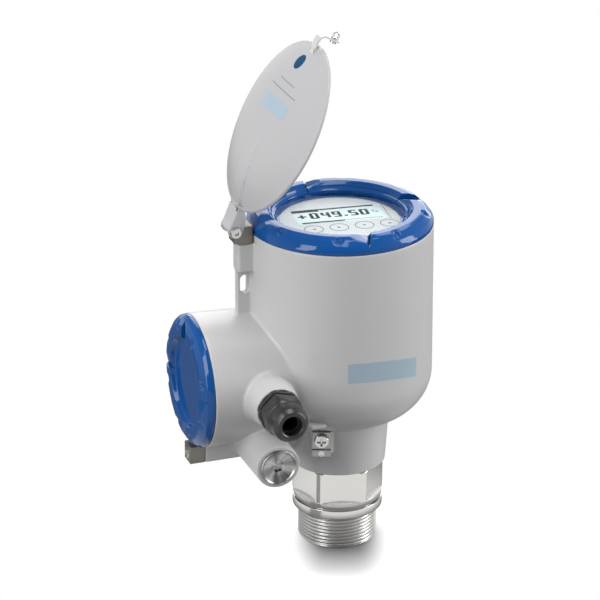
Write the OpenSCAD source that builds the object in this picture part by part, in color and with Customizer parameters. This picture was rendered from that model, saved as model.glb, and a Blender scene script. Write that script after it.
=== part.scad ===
// Radar level transmitter with a side terminal drum, a blue screw cover over its display and a sun lid.
// Millimetres. +Z runs up the thread axis, the origin is on that axis at the underside of the sealing
// collar, the terminal drum points to -X and the two cable entries point to -Y.

/* [Process connection] */
// Outside diameter of the process thread (G 1 1/2)
thread_d = 47.8; // [42:0.1:60]
// Length of the process thread below the sealing collar
thread_len = 21.8; // [15:0.1:40]
// Diameter of the sealing collar and of the turned hexagon corners
collar_d = 55; // [52:0.5:66]
// Height of the sealing collar
collar_h = 5.5; // [3:0.5:10]
// Width across the flats of the spanner hexagon
hex_af = 49.2; // [46:0.1:62]
// Height of the hexagon flats
hex_h = 20; // [12:0.5:30]
// Diameter of the lens pocket in the thread end
lens_d = 39; // [30:0.5:39.6]

/* [Display drum] */
// Outside diameter of the drum at its rim
drum_d = 110.8; // [104:0.2:140]
// Height of the rim above the sealing face
rim_z = 184; // [170:1:230]
// Height of the drum's lower corner above the sealing face
corner_z = 92; // [88:1:110]
// Radius of the drum's lower corner
drum_corner_r = 29; // [20:0.5:36]
// Thickness of the casting at the drum
drum_wall = 4.6; // [3.5:0.1:8]
// Diameter of the neck at its lower end
neck_d = 57.6; // [56:0.2:70]

/* [Terminal drum] */
// Outside diameter of the terminal drum
tdrum_d = 80.8; // [76:0.2:90]
// Distance of its rim from the thread axis
tdrum_reach = 90.5; // [84:0.5:110]
// Height of its axis above the sealing face
tdrum_z = 94.5; // [94:0.5:100]
// Thickness of the casting at the terminal drum
tdrum_wall = 6.4; // [5:0.1:9]

/* [Cable entries] */
// Diameter of the cable entry threads (M20)
entry_d = 20; // [16:0.5:20]
// Distance of both entries from the thread axis
entry_x = 57.5; // [56:0.5:60]
// Distance of the entry faces from the thread axis
entry_y = 54.3; // [50:0.5:64]
// Drop from the gland axis to the plug axis
plug_drop = 37.2; // [34:0.1:38]
// Width across the flats of the cable gland
gland_af = 24; // [22:0.5:25]

/* [Covers] */
// Height of the display cover's grip lugs above its seam
lug_h = 9.1; // [8:0.1:12]
// Radius of the glass that shows in the display cover
window_r = 37.9; // [30:0.1:38]
// Number of grip lugs on each cover
lug_count = 4; // [3:1:6]

/* [Sun lid] */
// Radius of the sun lid
lid_r = 53; // [50:0.2:56]
// Height of the lid's dome
lid_dome = 8.6; // [6:0.2:12]
// Thickness of the lid
lid_wall = 1.4; // [1:0.1:2.5]
// Angle of the open lid above the closed one
lid_open = 61.8; // [40:0.1:90]

/* [Display] */
// Width of the screen
lcd_w = 54; // [40:0.5:56]
// Depth of the screen
lcd_h = 22.5; // [16:0.5:24]
// Radius of a key
key_r = 5.6; // [4:0.1:6]
// Distance between two keys
key_pitch = 15.3; // [13:0.1:15.6]
// Turn of the display in the drum
display_turn = -6; // [-20:1:20]

/* [Hidden] */
$fn = 96;
eps = 0.01;
run_fit = 0.05;     // radial clearance of a turning fit
seat_fit = 0.15;    // clearance between a cover and its collar
gap = 0.3;          // clearance between neighbours that don't fit each other

// process connection
thread_r = thread_d / 2;
collar_r = collar_d / 2;
groove_h = 0.8;
groove_depth = 1;
hex_turn = 45;
band_h = 3.7;
hex_z = collar_h + groove_h + band_h;
neck_z = hex_z + hex_h + gap;
spigot_r = 24.45;
spigot_top = neck_z + 16.7;
thread_chamfer = 1.6;
lens_r = lens_d / 2;
lens_pocket_top = -11;
lens_edge_z = 1.3 - thread_len;
lens_sag = 0.8;
lens_gap = 0.2;
lens_top_r = 16;
lens_rise = 4.5;
horn_r = 18.5;
horn_top = 20;
tube_r = 7.9;
horn_throat_r = 3;
horn_mouth_r = 17;
seal_bead = 0.8;
lens_seal_z = -15;
neck_seal_r = 0.9;
neck_seal_z = neck_z + 7;
clip_z = neck_z + 12;
clip_h = 1.6;
clip_in = 1.4;
clip_out = 1.4;

// housing
drum_r = drum_d / 2;
drum_low_r = drum_r + 0.8;
drum_floor_z = corner_z - drum_corner_r;
neck_r = neck_d / 2;
neck_top_r = neck_r + 2.1;
bay_r = drum_r - drum_wall;
bay_low_r = 38;
bay_z = 132;
neck_bore_top = spigot_top + 1;
radar_r = 20.8;
radar_flange_r = 30;
radar_flange_h = 4;
radar_top = drum_floor_z + 4.5 + 22;
deck_z = drum_floor_z + 4.5;
tdrum_r = tdrum_d / 2;
tdrum_root_r = tdrum_r - 1.2;
tdrum_taper_h = 30;
tbay_r = tdrum_r - tdrum_wall - 1;
tbay_back = 46;
plug_z = tdrum_z - plug_drop;
entry_r = entry_d / 2;
boss_r = entry_r + 3.3;
boss_root_r = entry_r + 5.2;
boss_h = 11;
plug_boss_r = entry_r + 3.2;

// display cover seam and collar
seam_gap = 0.1;
cover_r = drum_r - 0.1;
cover_collar_r = bay_r + 1;
cover_collar_h = 3.6;
cover_throat_r = cover_collar_r - 3.4;
skirt_bore_r = cover_collar_r + seat_fit;
crown_top = rim_z + lug_h;
crown_out_r = drum_r - 8;
crown_in_r = window_r + 3.6;
lip_top = crown_top - 4.0;
lip_z = crown_top - 4.9;
glass_t = 2.8;
gasket_t = 0.8;
glass_r = window_r + 3.6;
gasket_in_r = window_r + 0.7;
ring_t = 2;
ring_r = glass_r + 2.4;
lug_gap_h = 4.2;
lug_first = 95;
notch_deg = 3.5;
ramp_deg = 12.5;
ramp_steps = 3;
seal_in = 0.7;
seal_out = 2.7;
seal_groove_h = 2 * seal_bead + 0.05;

// display
bezel_top = lip_z - glass_t - gap;
bezel_r = gasket_in_r - 0.4;
bezel_h = 7;
bezel_flange_r = bay_r - 4.6;
bezel_flange_h = 3;
lcd_t = 2;
full_window_r = 37.9;                          // window that takes the whole screen and keys
fit_k = min(1, window_r / full_window_r);      // share of their size in a smaller window
screen_w = fit_k * lcd_w;
screen_h = fit_k * lcd_h;
screen_x = fit_k * 1.3;
screen_y = fit_k * 7.4;
button_r = fit_k * key_r;
key_h = 3;
key_travel = 0.6;
module_top = bezel_top - bezel_h - bezel_flange_h;
module_r = cover_throat_r - 0.4;
module_low_r = bay_low_r - 0.5;
module_z = radar_top + 1;

// terminal cover
tcover_r = tdrum_r - 0.4;
tcollar_r = tdrum_r - 3.8;
tcollar_h = 2.4;
tlug_h = 7.4;
tcrown_out_r = tcover_r - 7;
tcrown_in_r = tcover_r - 12.5;
tface_drop = 3.4;
tcover_wall = 2.6;
tlug_first = 93;

// terminal block
terminal_n = 4;
terminal_pitch = 8.6;
terminal_r = 2.7;
terminal_z = 8.5;
tblock_z = tdrum_z + 11;
tblock_h = 13;
tblock_l = 22;
tblock_w = 37;
wire_way_w = 5.2;

// cable gland and plug
gland_hex_h = 3.6;
gland_hex_turn = 45;
gland_nut_gap = 0.6;
gland_neck_r = 9;
gland_neck_h = 15.6;
gland_way_r = 7.2;
gland_hole_r = 6;
gland_lead_r = 4.9;
gland_nut_hex_h = 9.4;
gland_nut_h = 20.9;
gland_nut_r = 11.1;
gland_nut_round = 3.4;
gland_nut_cap = 5.3;
gland_insert_z = 3;
face_seal_r = 0.4;
plug_flange_r = 11;
plug_flange_h = 1.6;
plug_dish_r = 6.5;
plug_key_af = 8;
plug_len = 10;
plug_seal_r = 0.56;

// cover stops and hinge
stop_w = 11;
stop_l = 9.6;
stop_h = 11.4;
post_out = drum_r + 9.4;
post_w = 11;
post_z = 161.5;
post_top = rim_z - 5;
fin_w = 4.5;
slot_x = post_out - 4.8;
slot_z = 152.9;
slot_w = 5.9;
slot_h = 11.7;
keel_out = 86.4;
keel_z = tdrum_z - tdrum_r - 12.1;
hinge_x = -post_out - 2.5;
hinge_z = rim_z + 4.5;
hinge_pin_r = 1.6;
knuckle_r = 3;
stop_screw_r = 1.95;
stop_screw_head_r = 3.3;

// sun lid, in a frame with its origin on the hinge axis and +X along the lid
lid_reach = -hinge_x - 1.55;
lid_plane = 3.49;
lid_lip = 0.6;
arm_half = 7.2;
arm_neck = 9;
arm_root_half = 17;
arm_wall = 1.1;
arm_heel = 2.2;
arm_top = lid_plane + 0.7;
ridge_from = 40;
ear_r = 4.2;
hinge_head_r = 3.3;
hinge_head_h = 2.1;
washer_t = 0.5;
washer_r = 3;
clip_y = -2;
clip_w = 6;
clip_x = 8.6;
clip_low = -9.2;
clip_t = 1.2;
clip_screw_z = -6.6;
clip_screw_r = 1.4;
clip_head_r = 2.3;
clip_knob_r = 2;
clip_wing_r = 2.3;

// earth terminal, in a frame that looks along -Y and is turned about the neck
earth_turn = -20;
earth_shift = -10.1;
earth_z = 57.4;
earth_pad = 32.6;
earth_w = 13;
earth_screw_r = 2.5;
earth_head_r = 4.4;
clamp_w = 11.5;
clamp_h = 16.3;
clamp_low = -11;
clamp_t = 2;

// cast lug under the drum, over the earth terminal
lug_x = 25.2;
lug_w = 9;
lug_out = 48.4;
lug_z = corner_z - 15.2;
lug_t = 2.2;

// ---- helpers -------------------------------------------------------------------------------

// points of an arc in the plane of a turned profile
function arc(cx, cy, r, from, to, steps) =
    [for (i = [0 : steps]) let (a = from + (to - from) * i / steps) [cx + r * cos(a), cy + r * sin(a)]];

// a block by its lowest and highest corner
module block(low, high) {
    translate(low) cube(high - low);
}

// a ring between two radii
module ring(r_out, r_in, h) {
    difference() {
        cylinder(r = r_out, h = h);
        translate([0, 0, -1]) cylinder(r = r_in, h = h + 2);
    }
}

// an O-ring lying flat
module o_ring(r, bead) {
    rotate_extrude() translate([r, 0]) circle(r = bead, $fn = 24);
}

// puts a thing drawn along +Z on the terminal drum's axis, pointing out of the drum from its rim
module on_tdrum() {
    translate([-tdrum_reach, 0, tdrum_z]) rotate([0, -90, 0]) children();
}

// puts a thing drawn along +Z on an entry's face, pointing out of it
module on_entry(z) {
    translate([-entry_x, -entry_y, z]) rotate([90, 0, 0]) children();
}

// turns a thing drawn towards -Y round the neck to the earth terminal
module at_earth() {
    rotate([0, 0, earth_turn]) translate([earth_shift, 0, earth_z]) children();
}

// the sun lid's frame at its open angle
module on_lid() {
    translate([hinge_x, 0, hinge_z]) rotate([0, -lid_open, 0]) children();
}

// a horizontal cylinder along Y, from y0 to y1
module y_rod(r, y0, y1) {
    translate([0, y1, 0]) rotate([90, 0, 0]) cylinder(r = r, h = y1 - y0);
}

// the grip lugs' gaps on a cover: a steep wall, a floor and a ramp, drawn round +Z above the floor
module lug_gaps(first_deg, r_in, r_out, h) {
    step_deg = ramp_deg / ramp_steps;
    for (i = [0 : lug_count - 1]) rotate([0, 0, first_deg + i * 360 / lug_count]) {
        rotate_extrude(angle = notch_deg) translate([r_in, 0]) square([r_out - r_in, h + 1]);
        for (k = [1 : ramp_steps]) rotate([0, 0, -step_deg * k]) rotate_extrude(angle = step_deg + 0.5)
            translate([r_in, h * k / (ramp_steps + 1)]) square([r_out - r_in, h]);
    }
}

// ---- process connection --------------------------------------------------------------------

// the hexagon with its corners turned off
module turned_hex() {
    intersection() {
        rotate([0, 0, hex_turn]) cylinder(d = hex_af / cos(30), h = hex_h, $fn = 6);
        cylinder(r = collar_r, h = hex_h);
    }
}

module process_connection() {
    color([0.78, 0.77, 0.75]) difference() {
        union() {
            rotate_extrude() polygon([[0, -thread_len], [thread_r - thread_chamfer, -thread_len],
                [thread_r, thread_chamfer - thread_len], [thread_r, 0], [collar_r, 0],
                [collar_r, collar_h], [collar_r - groove_depth, collar_h],
                [collar_r - groove_depth, collar_h + groove_h], [collar_r, hex_z], [0, hex_z]]);
            translate([0, 0, hex_z]) turned_hex();
            rotate_extrude() polygon([[0, hex_z], [spigot_r, hex_z], [spigot_r, neck_seal_z - 1.2],
                [spigot_r - 1.9, neck_seal_z - 1.2], [spigot_r - 1.9, neck_seal_z + 1.2],
                [spigot_r, neck_seal_z + 1.2], [spigot_r, clip_z], [spigot_r - clip_in, clip_z],
                [spigot_r - clip_in, clip_z + clip_h + 0.1], [spigot_r, clip_z + clip_h + 0.1],
                [spigot_r, spigot_top], [0, spigot_top]]);
        }
        translate([0, 0, -thread_len - 1])
            cylinder(r = lens_r + lens_gap, h = thread_len + 1 + lens_pocket_top);
        translate([0, 0, lens_pocket_top - 1])
            cylinder(r = horn_r + run_fit, h = horn_top - lens_pocket_top + 1);
        cylinder(r = tube_r + run_fit, h = spigot_top + 1);
    }
}

module lens_antenna() {
    color([0.93, 0.91, 0.85]) rotate_extrude() difference() {
        polygon(concat([[0, lens_edge_z - lens_sag]],
            [for (i = [1 : 8]) [lens_r * i / 8, lens_edge_z - lens_sag * (1 - pow(i / 8, 2))]],
            [[lens_r, lens_pocket_top - gap]],
            [for (i = [8 : -1 : 0])
                [lens_top_r * i / 8, lens_pocket_top - gap + lens_rise * (1 - pow(i / 8, 2))]]));
        translate([lens_r - 1.5, lens_seal_z - seal_bead - 0.2]) square([2, 2 * seal_bead + 0.4]);
    }
}

module lens_seal() {
    color([0.12, 0.12, 0.12]) translate([0, 0, lens_seal_z]) o_ring(lens_r - 0.65, seal_bead);
}

module feed_horn() {
    color([0.8, 0.8, 0.82]) rotate_extrude() polygon([[horn_mouth_r + 0.7, lens_pocket_top],
        [horn_r, lens_pocket_top], [horn_r, horn_top - gap], [tube_r, horn_top - gap],
        [tube_r, spigot_top], [horn_throat_r, spigot_top], [horn_throat_r, horn_top + 6]]);
}

module neck_seal() {
    color([0.12, 0.12, 0.12]) translate([0, 0, neck_seal_z])
        o_ring(spigot_r - neck_seal_r - 0.02, neck_seal_r);
}

// split wire ring that holds the housing down on the spigot
module neck_clip() {
    color([0.7, 0.7, 0.7]) translate([0, 0, clip_z]) difference() {
        ring(spigot_r + clip_out, spigot_r - clip_in + 0.1, clip_h);
        translate([0, -2, -1]) cube([40, 4, clip_h + 2]);
    }
}

// ---- housing -------------------------------------------------------------------------------

module housing_outside() {
    rotate_extrude() polygon(concat([[0, neck_z], [neck_r, neck_z], [neck_top_r, drum_floor_z]],
        arc(drum_low_r - drum_corner_r, corner_z, drum_corner_r, -90, 0, 14),
        [[drum_r, rim_z], [cover_collar_r, rim_z], [cover_collar_r, rim_z + cover_collar_h],
        [0, rim_z + cover_collar_h]]));
    on_tdrum() {
        translate([0, 0, -tdrum_taper_h]) cylinder(r1 = tdrum_root_r, r2 = tdrum_r, h = tdrum_taper_h);
        translate([0, 0, -tdrum_reach]) cylinder(r = tdrum_root_r, h = tdrum_reach - tdrum_taper_h + eps);
        cylinder(r = tcollar_r, h = tcollar_h);
    }
    on_entry(tdrum_z) translate([0, 0, -boss_h - 8]) {
        cylinder(r = boss_root_r, h = 8 + eps);
        translate([0, 0, 8]) cylinder(r1 = boss_root_r, r2 = boss_r, h = boss_h);
    }
    on_entry(plug_z) translate([0, 0, -entry_y - 6]) cylinder(r = plug_boss_r, h = entry_y + 6);
    block([-post_out, -post_w / 2, post_z], [-drum_r + 3, post_w / 2, post_top]);
    block([-post_out, -fin_w / 2, tdrum_z + tdrum_r - 2], [-drum_r + 3, fin_w / 2, post_z + eps]);
    block([-keel_out, -stop_w / 2, keel_z], [-neck_r, stop_w / 2, tdrum_z - tdrum_r + 4]);
    at_earth() block([-earth_w / 2, -earth_pad, -10.5], [earth_w / 2, -spigot_r - 1, 12]);
    block([-lug_x - lug_w, -lug_out, lug_z - lug_t], [-lug_x, -lug_out + 10, lug_z]);
}

module housing_inside() {
    // neck bore, clip groove, radar module's bore and deck
    translate([0, 0, neck_z - 1]) cylinder(r = spigot_r + run_fit, h = neck_bore_top - neck_z + 1);
    translate([0, 0, clip_z - gap]) cylinder(r = spigot_r + clip_out + gap, h = clip_h + 2 * gap);
    cylinder(r = radar_r + gap, h = deck_z + 1);
    // electronics bay in two steps
    translate([0, 0, deck_z]) cylinder(r = bay_low_r, h = bay_z - deck_z + 1);
    translate([0, 0, bay_z]) cylinder(r = bay_r, h = rim_z - bay_z - 8);
    translate([0, 0, rim_z - 8 - eps]) cylinder(r = cover_throat_r, h = 8 + cover_collar_h + 1);
    // terminal bay and the cable way between both bays
    on_tdrum() {
        translate([0, 0, tbay_back - tdrum_reach]) cylinder(r = tbay_r, h = tdrum_reach);
        translate([0, 14, tbay_back - tdrum_reach - 20]) cylinder(r = 5, h = 21);
    }
    // cable entries
    on_entry(tdrum_z) translate([0, 0, -entry_y + 12]) cylinder(r = entry_r, h = entry_y);
    on_entry(plug_z) translate([0, 0, -entry_y + 5]) cylinder(r = entry_r, h = entry_y);
    // slot for a lead seal in the fin
    translate([-slot_x, 0, slot_z]) for (s = [-1, 1]) translate([0, 0, s * (slot_h - slot_w) / 2])
        y_rod(slot_w / 2, -fin_w, fin_w);
    block([-slot_x - slot_w / 2, -fin_w, slot_z - (slot_h - slot_w) / 2],
        [-slot_x + slot_w / 2, fin_w, slot_z + (slot_h - slot_w) / 2]);
    // screw holes of both cover stops, the outer and the inner earth screw
    translate([-post_out + stop_l / 2, 0, post_top - 9]) cylinder(r = stop_screw_r + run_fit, h = 10);
    translate([-keel_out + 8, 0, keel_z + stop_h / 2]) rotate([0, -90, 0])
        cylinder(r = stop_screw_r + run_fit, h = 10);
    at_earth() y_rod(earth_screw_r, -earth_pad - 5, -earth_pad + 9);
    translate([-tbay_back - 1, 14, tdrum_z - 12]) rotate([0, 90, 0]) cylinder(r = 2, h = 6);
}

module housing() {
    color([0.74, 0.74, 0.74]) difference() {
        housing_outside();
        housing_inside();
    }
}

// ---- electronics and display ---------------------------------------------------------------

module radar_module() {
    color([0.2, 0.45, 0.3]) union() {
        translate([0, 0, neck_bore_top + 1]) cylinder(r = radar_r, h = deck_z - neck_bore_top);
        translate([0, 0, deck_z]) cylinder(r = radar_flange_r, h = radar_flange_h);
        translate([0, 0, deck_z]) cylinder(r = radar_r, h = radar_top - deck_z);
    }
}

module electronics_module() {
    color([0.16, 0.17, 0.18]) union() {
        translate([0, 0, module_z]) cylinder(r = module_low_r, h = bay_z - module_z + 1);
        translate([0, 0, bay_z]) cylinder(r = module_r, h = module_top - bay_z);
    }
}

module on_display() {
    rotate([0, 0, display_turn]) translate([0, 0, bezel_top]) children();
}

function key_place(i) = fit_k * [4.2 + (i - 1.5) * key_pitch, -12.1, 0];

module display_bezel() {
    color([0.85, 0.85, 0.83]) on_display() difference() {
        union() {
            translate([0, 0, -bezel_h]) cylinder(r = bezel_r, h = bezel_h);
            translate([0, 0, -bezel_h - bezel_flange_h]) cylinder(r = bezel_flange_r, h = bezel_flange_h);
        }
        block([screen_x - screen_w / 2 - 0.1, screen_y - screen_h / 2 - 0.1, -lcd_t - 0.1],
            [screen_x + screen_w / 2 + 0.1, screen_y + screen_h / 2 + 0.1, 1]);
        for (i = [0 : 3]) translate(key_place(i) + [0, 0, -key_h - key_travel - gap])
            cylinder(r = button_r + gap, h = key_h + 2);
    }
}

module lcd_panel() {
    color([0.75, 0.83, 0.8]) on_display()
        block([screen_x - screen_w / 2, screen_y - screen_h / 2, -lcd_t - 0.1],
            [screen_x + screen_w / 2, screen_y + screen_h / 2, -0.1]);
}

module key(i) {
    color([0.8, 0.8, 0.79]) on_display() translate(key_place(i) + [0, 0, -key_h])
        cylinder(r = button_r, h = key_h);
}

// ---- display cover -------------------------------------------------------------------------

module display_cover() {
    color([0.03, 0.3, 0.65]) difference() {
        rotate_extrude() polygon(concat(
            [[skirt_bore_r, rim_z + seam_gap], [cover_r, rim_z + seam_gap], [cover_r, rim_z + 2.2]],
            arc(crown_out_r - 2, crown_top - 8.5, 9.4, 20, 72, 6),
            [[crown_out_r - 1, crown_top], [crown_in_r, crown_top], [window_r + 1.6, lip_top],
            [window_r, lip_top - 0.3], [window_r, lip_z], [glass_r + seat_fit, lip_z],
            [glass_r + seat_fit, lip_z - glass_t - gasket_t], [ring_r, lip_z - glass_t - gasket_t],
            [ring_r, rim_z + seam_gap - 1.5], [ring_r + 1.6, rim_z + seam_gap - 1.5],
            [ring_r + 1.6, rim_z + cover_collar_h + gap], [skirt_bore_r, rim_z + cover_collar_h + gap]]));
        translate([0, 0, crown_top - lug_gap_h])
            lug_gaps(lug_first, crown_in_r - 1.6, drum_r - 2, lug_gap_h);
        translate([0, 0, rim_z - 1])
            ring(cover_collar_r + seal_out, cover_collar_r + seal_in, 1 + seal_groove_h);
    }
}

module cover_window() {
    color([0.8, 0.9, 0.95, 0.35]) translate([0, 0, lip_z - glass_t])
        cylinder(r = glass_r, h = glass_t);
}

module window_gasket() {
    color([0.15, 0.15, 0.15]) translate([0, 0, lip_z - glass_t - gasket_t])
        ring(glass_r, gasket_in_r, gasket_t);
}

module window_ring() {
    color([0.7, 0.7, 0.72]) translate([0, 0, lip_z - glass_t - gasket_t - ring_t])
        ring(ring_r - run_fit, gasket_in_r, ring_t);
}

module display_cover_seal() {
    color([0.1, 0.1, 0.1]) translate([0, 0, rim_z + seal_bead])
        o_ring(cover_collar_r + (seal_in + seal_out) / 2, seal_bead);
}

// ---- terminal drum -------------------------------------------------------------------------

module terminal_cover() {
    color([0.03, 0.3, 0.65]) on_tdrum() difference() {
        rotate_extrude() polygon(concat(
            [[tcollar_r + seat_fit, seam_gap], [tcover_r, seam_gap], [tcover_r, 2.2]],
            arc(tcrown_out_r - 2, tlug_h - 7, 7.2, 20, 72, 6),
            [[tcrown_out_r - 1, tlug_h], [tcrown_in_r, tlug_h], [tcrown_in_r - 2, tlug_h - tface_drop],
            [0, tlug_h - tface_drop], [0, tlug_h - tface_drop - tcover_wall],
            [tbay_r - 1, tlug_h - tface_drop - tcover_wall], [tbay_r - 1, tcollar_h + gap],
            [tcollar_r + seat_fit, tcollar_h + gap]]));
        translate([0, 0, tlug_h - tface_drop])
            lug_gaps(tlug_first, tcrown_in_r - 1, tcover_r - 1.2, tface_drop);
        translate([0, 0, -1])
            ring(tcollar_r + seal_out, tcollar_r + seal_in, 1 + seal_groove_h);
    }
}

module terminal_cover_seal() {
    color([0.1, 0.1, 0.1]) on_tdrum() translate([0, 0, seal_bead])
        o_ring(tcollar_r + (seal_in + seal_out) / 2, seal_bead);
}

function terminal_y(i) = (i - (terminal_n - 1) / 2) * terminal_pitch;

module terminal_block() {
    color([0.25, 0.45, 0.35]) difference() {
        block([-tbay_back - tblock_l, -tblock_w / 2, tblock_z],
            [-tbay_back, tblock_w / 2, tblock_z + tblock_h]);
        for (i = [0 : terminal_n - 1]) translate([-tbay_back - tblock_l, terminal_y(i), tblock_z]) {
            translate([-1, 0, terminal_z]) rotate([0, 90, 0]) cylinder(r = terminal_r, h = 7);
            translate([3, -wire_way_w / 2, -1]) cube([8, wire_way_w, 5]);
        }
    }
}

module terminal_screws() {
    color([0.8, 0.78, 0.7]) for (i = [0 : terminal_n - 1])
        translate([-tbay_back - tblock_l + 1.5, terminal_y(i), tblock_z + terminal_z]) rotate([0, 90, 0])
            difference() {
                cylinder(r = terminal_r - 0.2, h = 4.5);
                translate([-terminal_r, -0.4, -1]) cube([2 * terminal_r, 0.8, 2]);
            }
}

module inner_earth_screw() {
    color([0.8, 0.78, 0.7]) translate([-tbay_back, 14, tdrum_z - 12]) rotate([0, -90, 0]) difference() {
        union() {
            cylinder(r = 5, h = 1.4);
            cylinder(r = 3.6, h = 4.2);
            translate([0, 0, -4]) cylinder(r = 2 - run_fit, h = 5);
        }
        translate([-4, -0.5, 3]) cube([8, 1, 2]);
    }
}

// ---- cable entries -------------------------------------------------------------------------

module gland_body() {
    color([0.1, 0.1, 0.1]) on_entry(tdrum_z) difference() {
        union() {
            translate([0, 0, -12]) cylinder(r = entry_r - run_fit, h = 12);
            rotate([0, 0, gland_hex_turn]) intersection() {
                cylinder(d = gland_af / cos(30), h = gland_hex_h, $fn = 6);
                cylinder(r = gland_af / 2 + 1.2, h = gland_hex_h);
            }
            cylinder(r = gland_neck_r, h = gland_neck_h);
        }
        translate([0, 0, -13]) cylinder(r = gland_way_r, h = gland_hex_h + 26);
        ring(entry_r + 3 * face_seal_r, entry_r, 2 * face_seal_r + 0.05);
    }
}

module gland_seal_ring() {
    color([0.05, 0.05, 0.05]) on_entry(tdrum_z) translate([0, 0, face_seal_r])
        o_ring(entry_r + 1.6 * face_seal_r, face_seal_r);
}

module gland_nut() {
    nut_z = gland_hex_h + gland_nut_gap;
    color([0.08, 0.08, 0.08]) on_entry(tdrum_z) translate([0, 0, nut_z]) difference() {
        union() {
            rotate([0, 0, gland_hex_turn]) intersection() {
                cylinder(d = (gland_af - 1) / cos(30), h = gland_nut_hex_h, $fn = 6);
                cylinder(r1 = gland_af / 2 + 1.4, r2 = gland_af / 2 + 0.2, h = gland_nut_hex_h);
            }
            rotate_extrude() polygon(concat(
                [[0, 0], [gland_nut_r + 0.2, 0], [gland_nut_r + 0.2, gland_nut_hex_h]],
                arc(gland_nut_r - gland_nut_round, gland_nut_h - gland_nut_round, gland_nut_round, 0, 80, 6),
                [[0, gland_nut_h]]));
        }
        translate([0, 0, -1])
            cylinder(r = gland_neck_r + run_fit, h = gland_nut_h - gland_nut_cap + 1);
        cylinder(r = gland_hole_r, h = gland_nut_h + 1);
    }
}

module gland_insert() {
    insert_l = gland_nut_gap + gland_nut_h - gland_nut_cap - gland_insert_z - 0.2;
    color([0.04, 0.04, 0.04]) on_entry(tdrum_z) translate([0, 0, gland_hex_h + gland_insert_z])
        ring(gland_way_r - 0.2, gland_lead_r, insert_l);
}

module blanking_plug() {
    color([0.75, 0.74, 0.7]) on_entry(plug_z) difference() {
        union() {
            translate([0, 0, -plug_len]) cylinder(r = entry_r - run_fit, h = plug_len);
            cylinder(r = plug_flange_r, h = plug_flange_h);
        }
        translate([0, 0, 0.5]) cylinder(r1 = plug_dish_r, r2 = plug_flange_r - 0.9, h = plug_flange_h);
        translate([0, 0, -4]) cylinder(d = plug_key_af / cos(30), h = 6, $fn = 6);
        translate([0, 0, -2.5 * plug_seal_r])
            ring(entry_r + 1, entry_r - 2.2 * plug_seal_r, 2.5 * plug_seal_r);
    }
}

module plug_seal() {
    color([0.05, 0.05, 0.05]) on_entry(plug_z) translate([0, 0, -1.25 * plug_seal_r])
        o_ring(entry_r - 1.1 * plug_seal_r, plug_seal_r);
}

// ---- outside earth terminal ----------------------------------------------------------------

module earth_clamp() {
    color([0.7, 0.69, 0.67]) at_earth() difference() {
        union() {
            block([-clamp_w / 2, -earth_pad - clamp_t - gap, clamp_low],
                [clamp_w / 2, -earth_pad - gap, clamp_low + clamp_h]);
            block([-clamp_w / 2, -earth_pad - clamp_t - gap - 1.2, clamp_low],
                [clamp_w / 2, -earth_pad - clamp_t, clamp_low + 1.9]);
        }
        y_rod(earth_screw_r + 0.2, -earth_pad - 6, -earth_pad + 1);
    }
}

module earth_screw() {
    color([0.8, 0.79, 0.77]) at_earth() difference() {
        union() {
            y_rod(earth_head_r, -earth_pad - clamp_t - gap - 3.3, -earth_pad - clamp_t - gap - 0.1);
            y_rod(earth_screw_r - run_fit, -earth_pad - clamp_t - 1, -earth_pad + 8);
        }
        for (a = [0, 90]) rotate([0, a, 0]) block([-2.4, -earth_pad - 6.5, -0.5], [2.4, -earth_pad - 4, 0.5]);
    }
}

// ---- cover stops and hinge -----------------------------------------------------------------

// steel piece on the post: cover stop towards the drum, hinge knuckle away from it
module hinge_bracket() {
    color([0.45, 0.43, 0.4]) difference() {
        union() {
            block([-post_out, -stop_w / 2, post_top],
                [-post_out + stop_l - 0.8, stop_w / 2, post_top + stop_h]);
            translate([hinge_x, 0, hinge_z]) y_rod(knuckle_r, -stop_w / 2, stop_w / 2);
            block([hinge_x, -stop_w / 2, post_top + 1], [-post_out + 1, stop_w / 2, hinge_z + 1]);
        }
        translate([hinge_x, 0, hinge_z]) y_rod(hinge_pin_r + run_fit, -stop_w, stop_w);
        translate([-post_out + stop_l / 2, 0, post_top - 1]) cylinder(r = stop_screw_r + 0.2, h = stop_h + 2);
        translate([-post_out + stop_l / 2, 0, post_top + stop_h - 3.4])
            cylinder(r = stop_screw_head_r + 0.3, h = 4);
    }
}

module display_stop_screw() {
    color([0.6, 0.58, 0.55]) translate([-post_out + stop_l / 2, 0, post_top - 8]) difference() {
        union() {
            cylinder(r = stop_screw_r, h = 8 + stop_h - 3);
            translate([0, 0, 8 + stop_h - 3.4]) cylinder(r = stop_screw_head_r, h = 3);
        }
        translate([0, 0, 8 + stop_h - 2.6]) cylinder(r = 1.7, h = 4, $fn = 6);
    }
}

module terminal_stop() {
    color([0.45, 0.43, 0.4]) difference() {
        block([-keel_out - stop_l, -stop_w / 2, keel_z + 0.3],
            [-keel_out, stop_w / 2, keel_z + stop_h + 0.1]);
        translate([-keel_out + 1, 0, keel_z + stop_h / 2]) rotate([0, -90, 0])
            cylinder(r = stop_screw_r + 0.2, h = stop_l + 2);
        translate([-keel_out - stop_l + 3.4, 0, keel_z + stop_h / 2]) rotate([0, -90, 0])
            cylinder(r = stop_screw_head_r + 0.3, h = 5);
    }
}

module terminal_stop_screw() {
    color([0.6, 0.58, 0.55]) translate([-keel_out + 7, 0, keel_z + stop_h / 2]) rotate([0, -90, 0])
        difference() {
            union() {
                cylinder(r = stop_screw_r, h = stop_l + 4);
                translate([0, 0, 7 + stop_l - 3.4]) cylinder(r = stop_screw_head_r, h = 3);
            }
            translate([0, 0, 7 + stop_l - 2.6]) cylinder(r = 1.7, h = 4, $fn = 6);
        }
}

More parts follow.
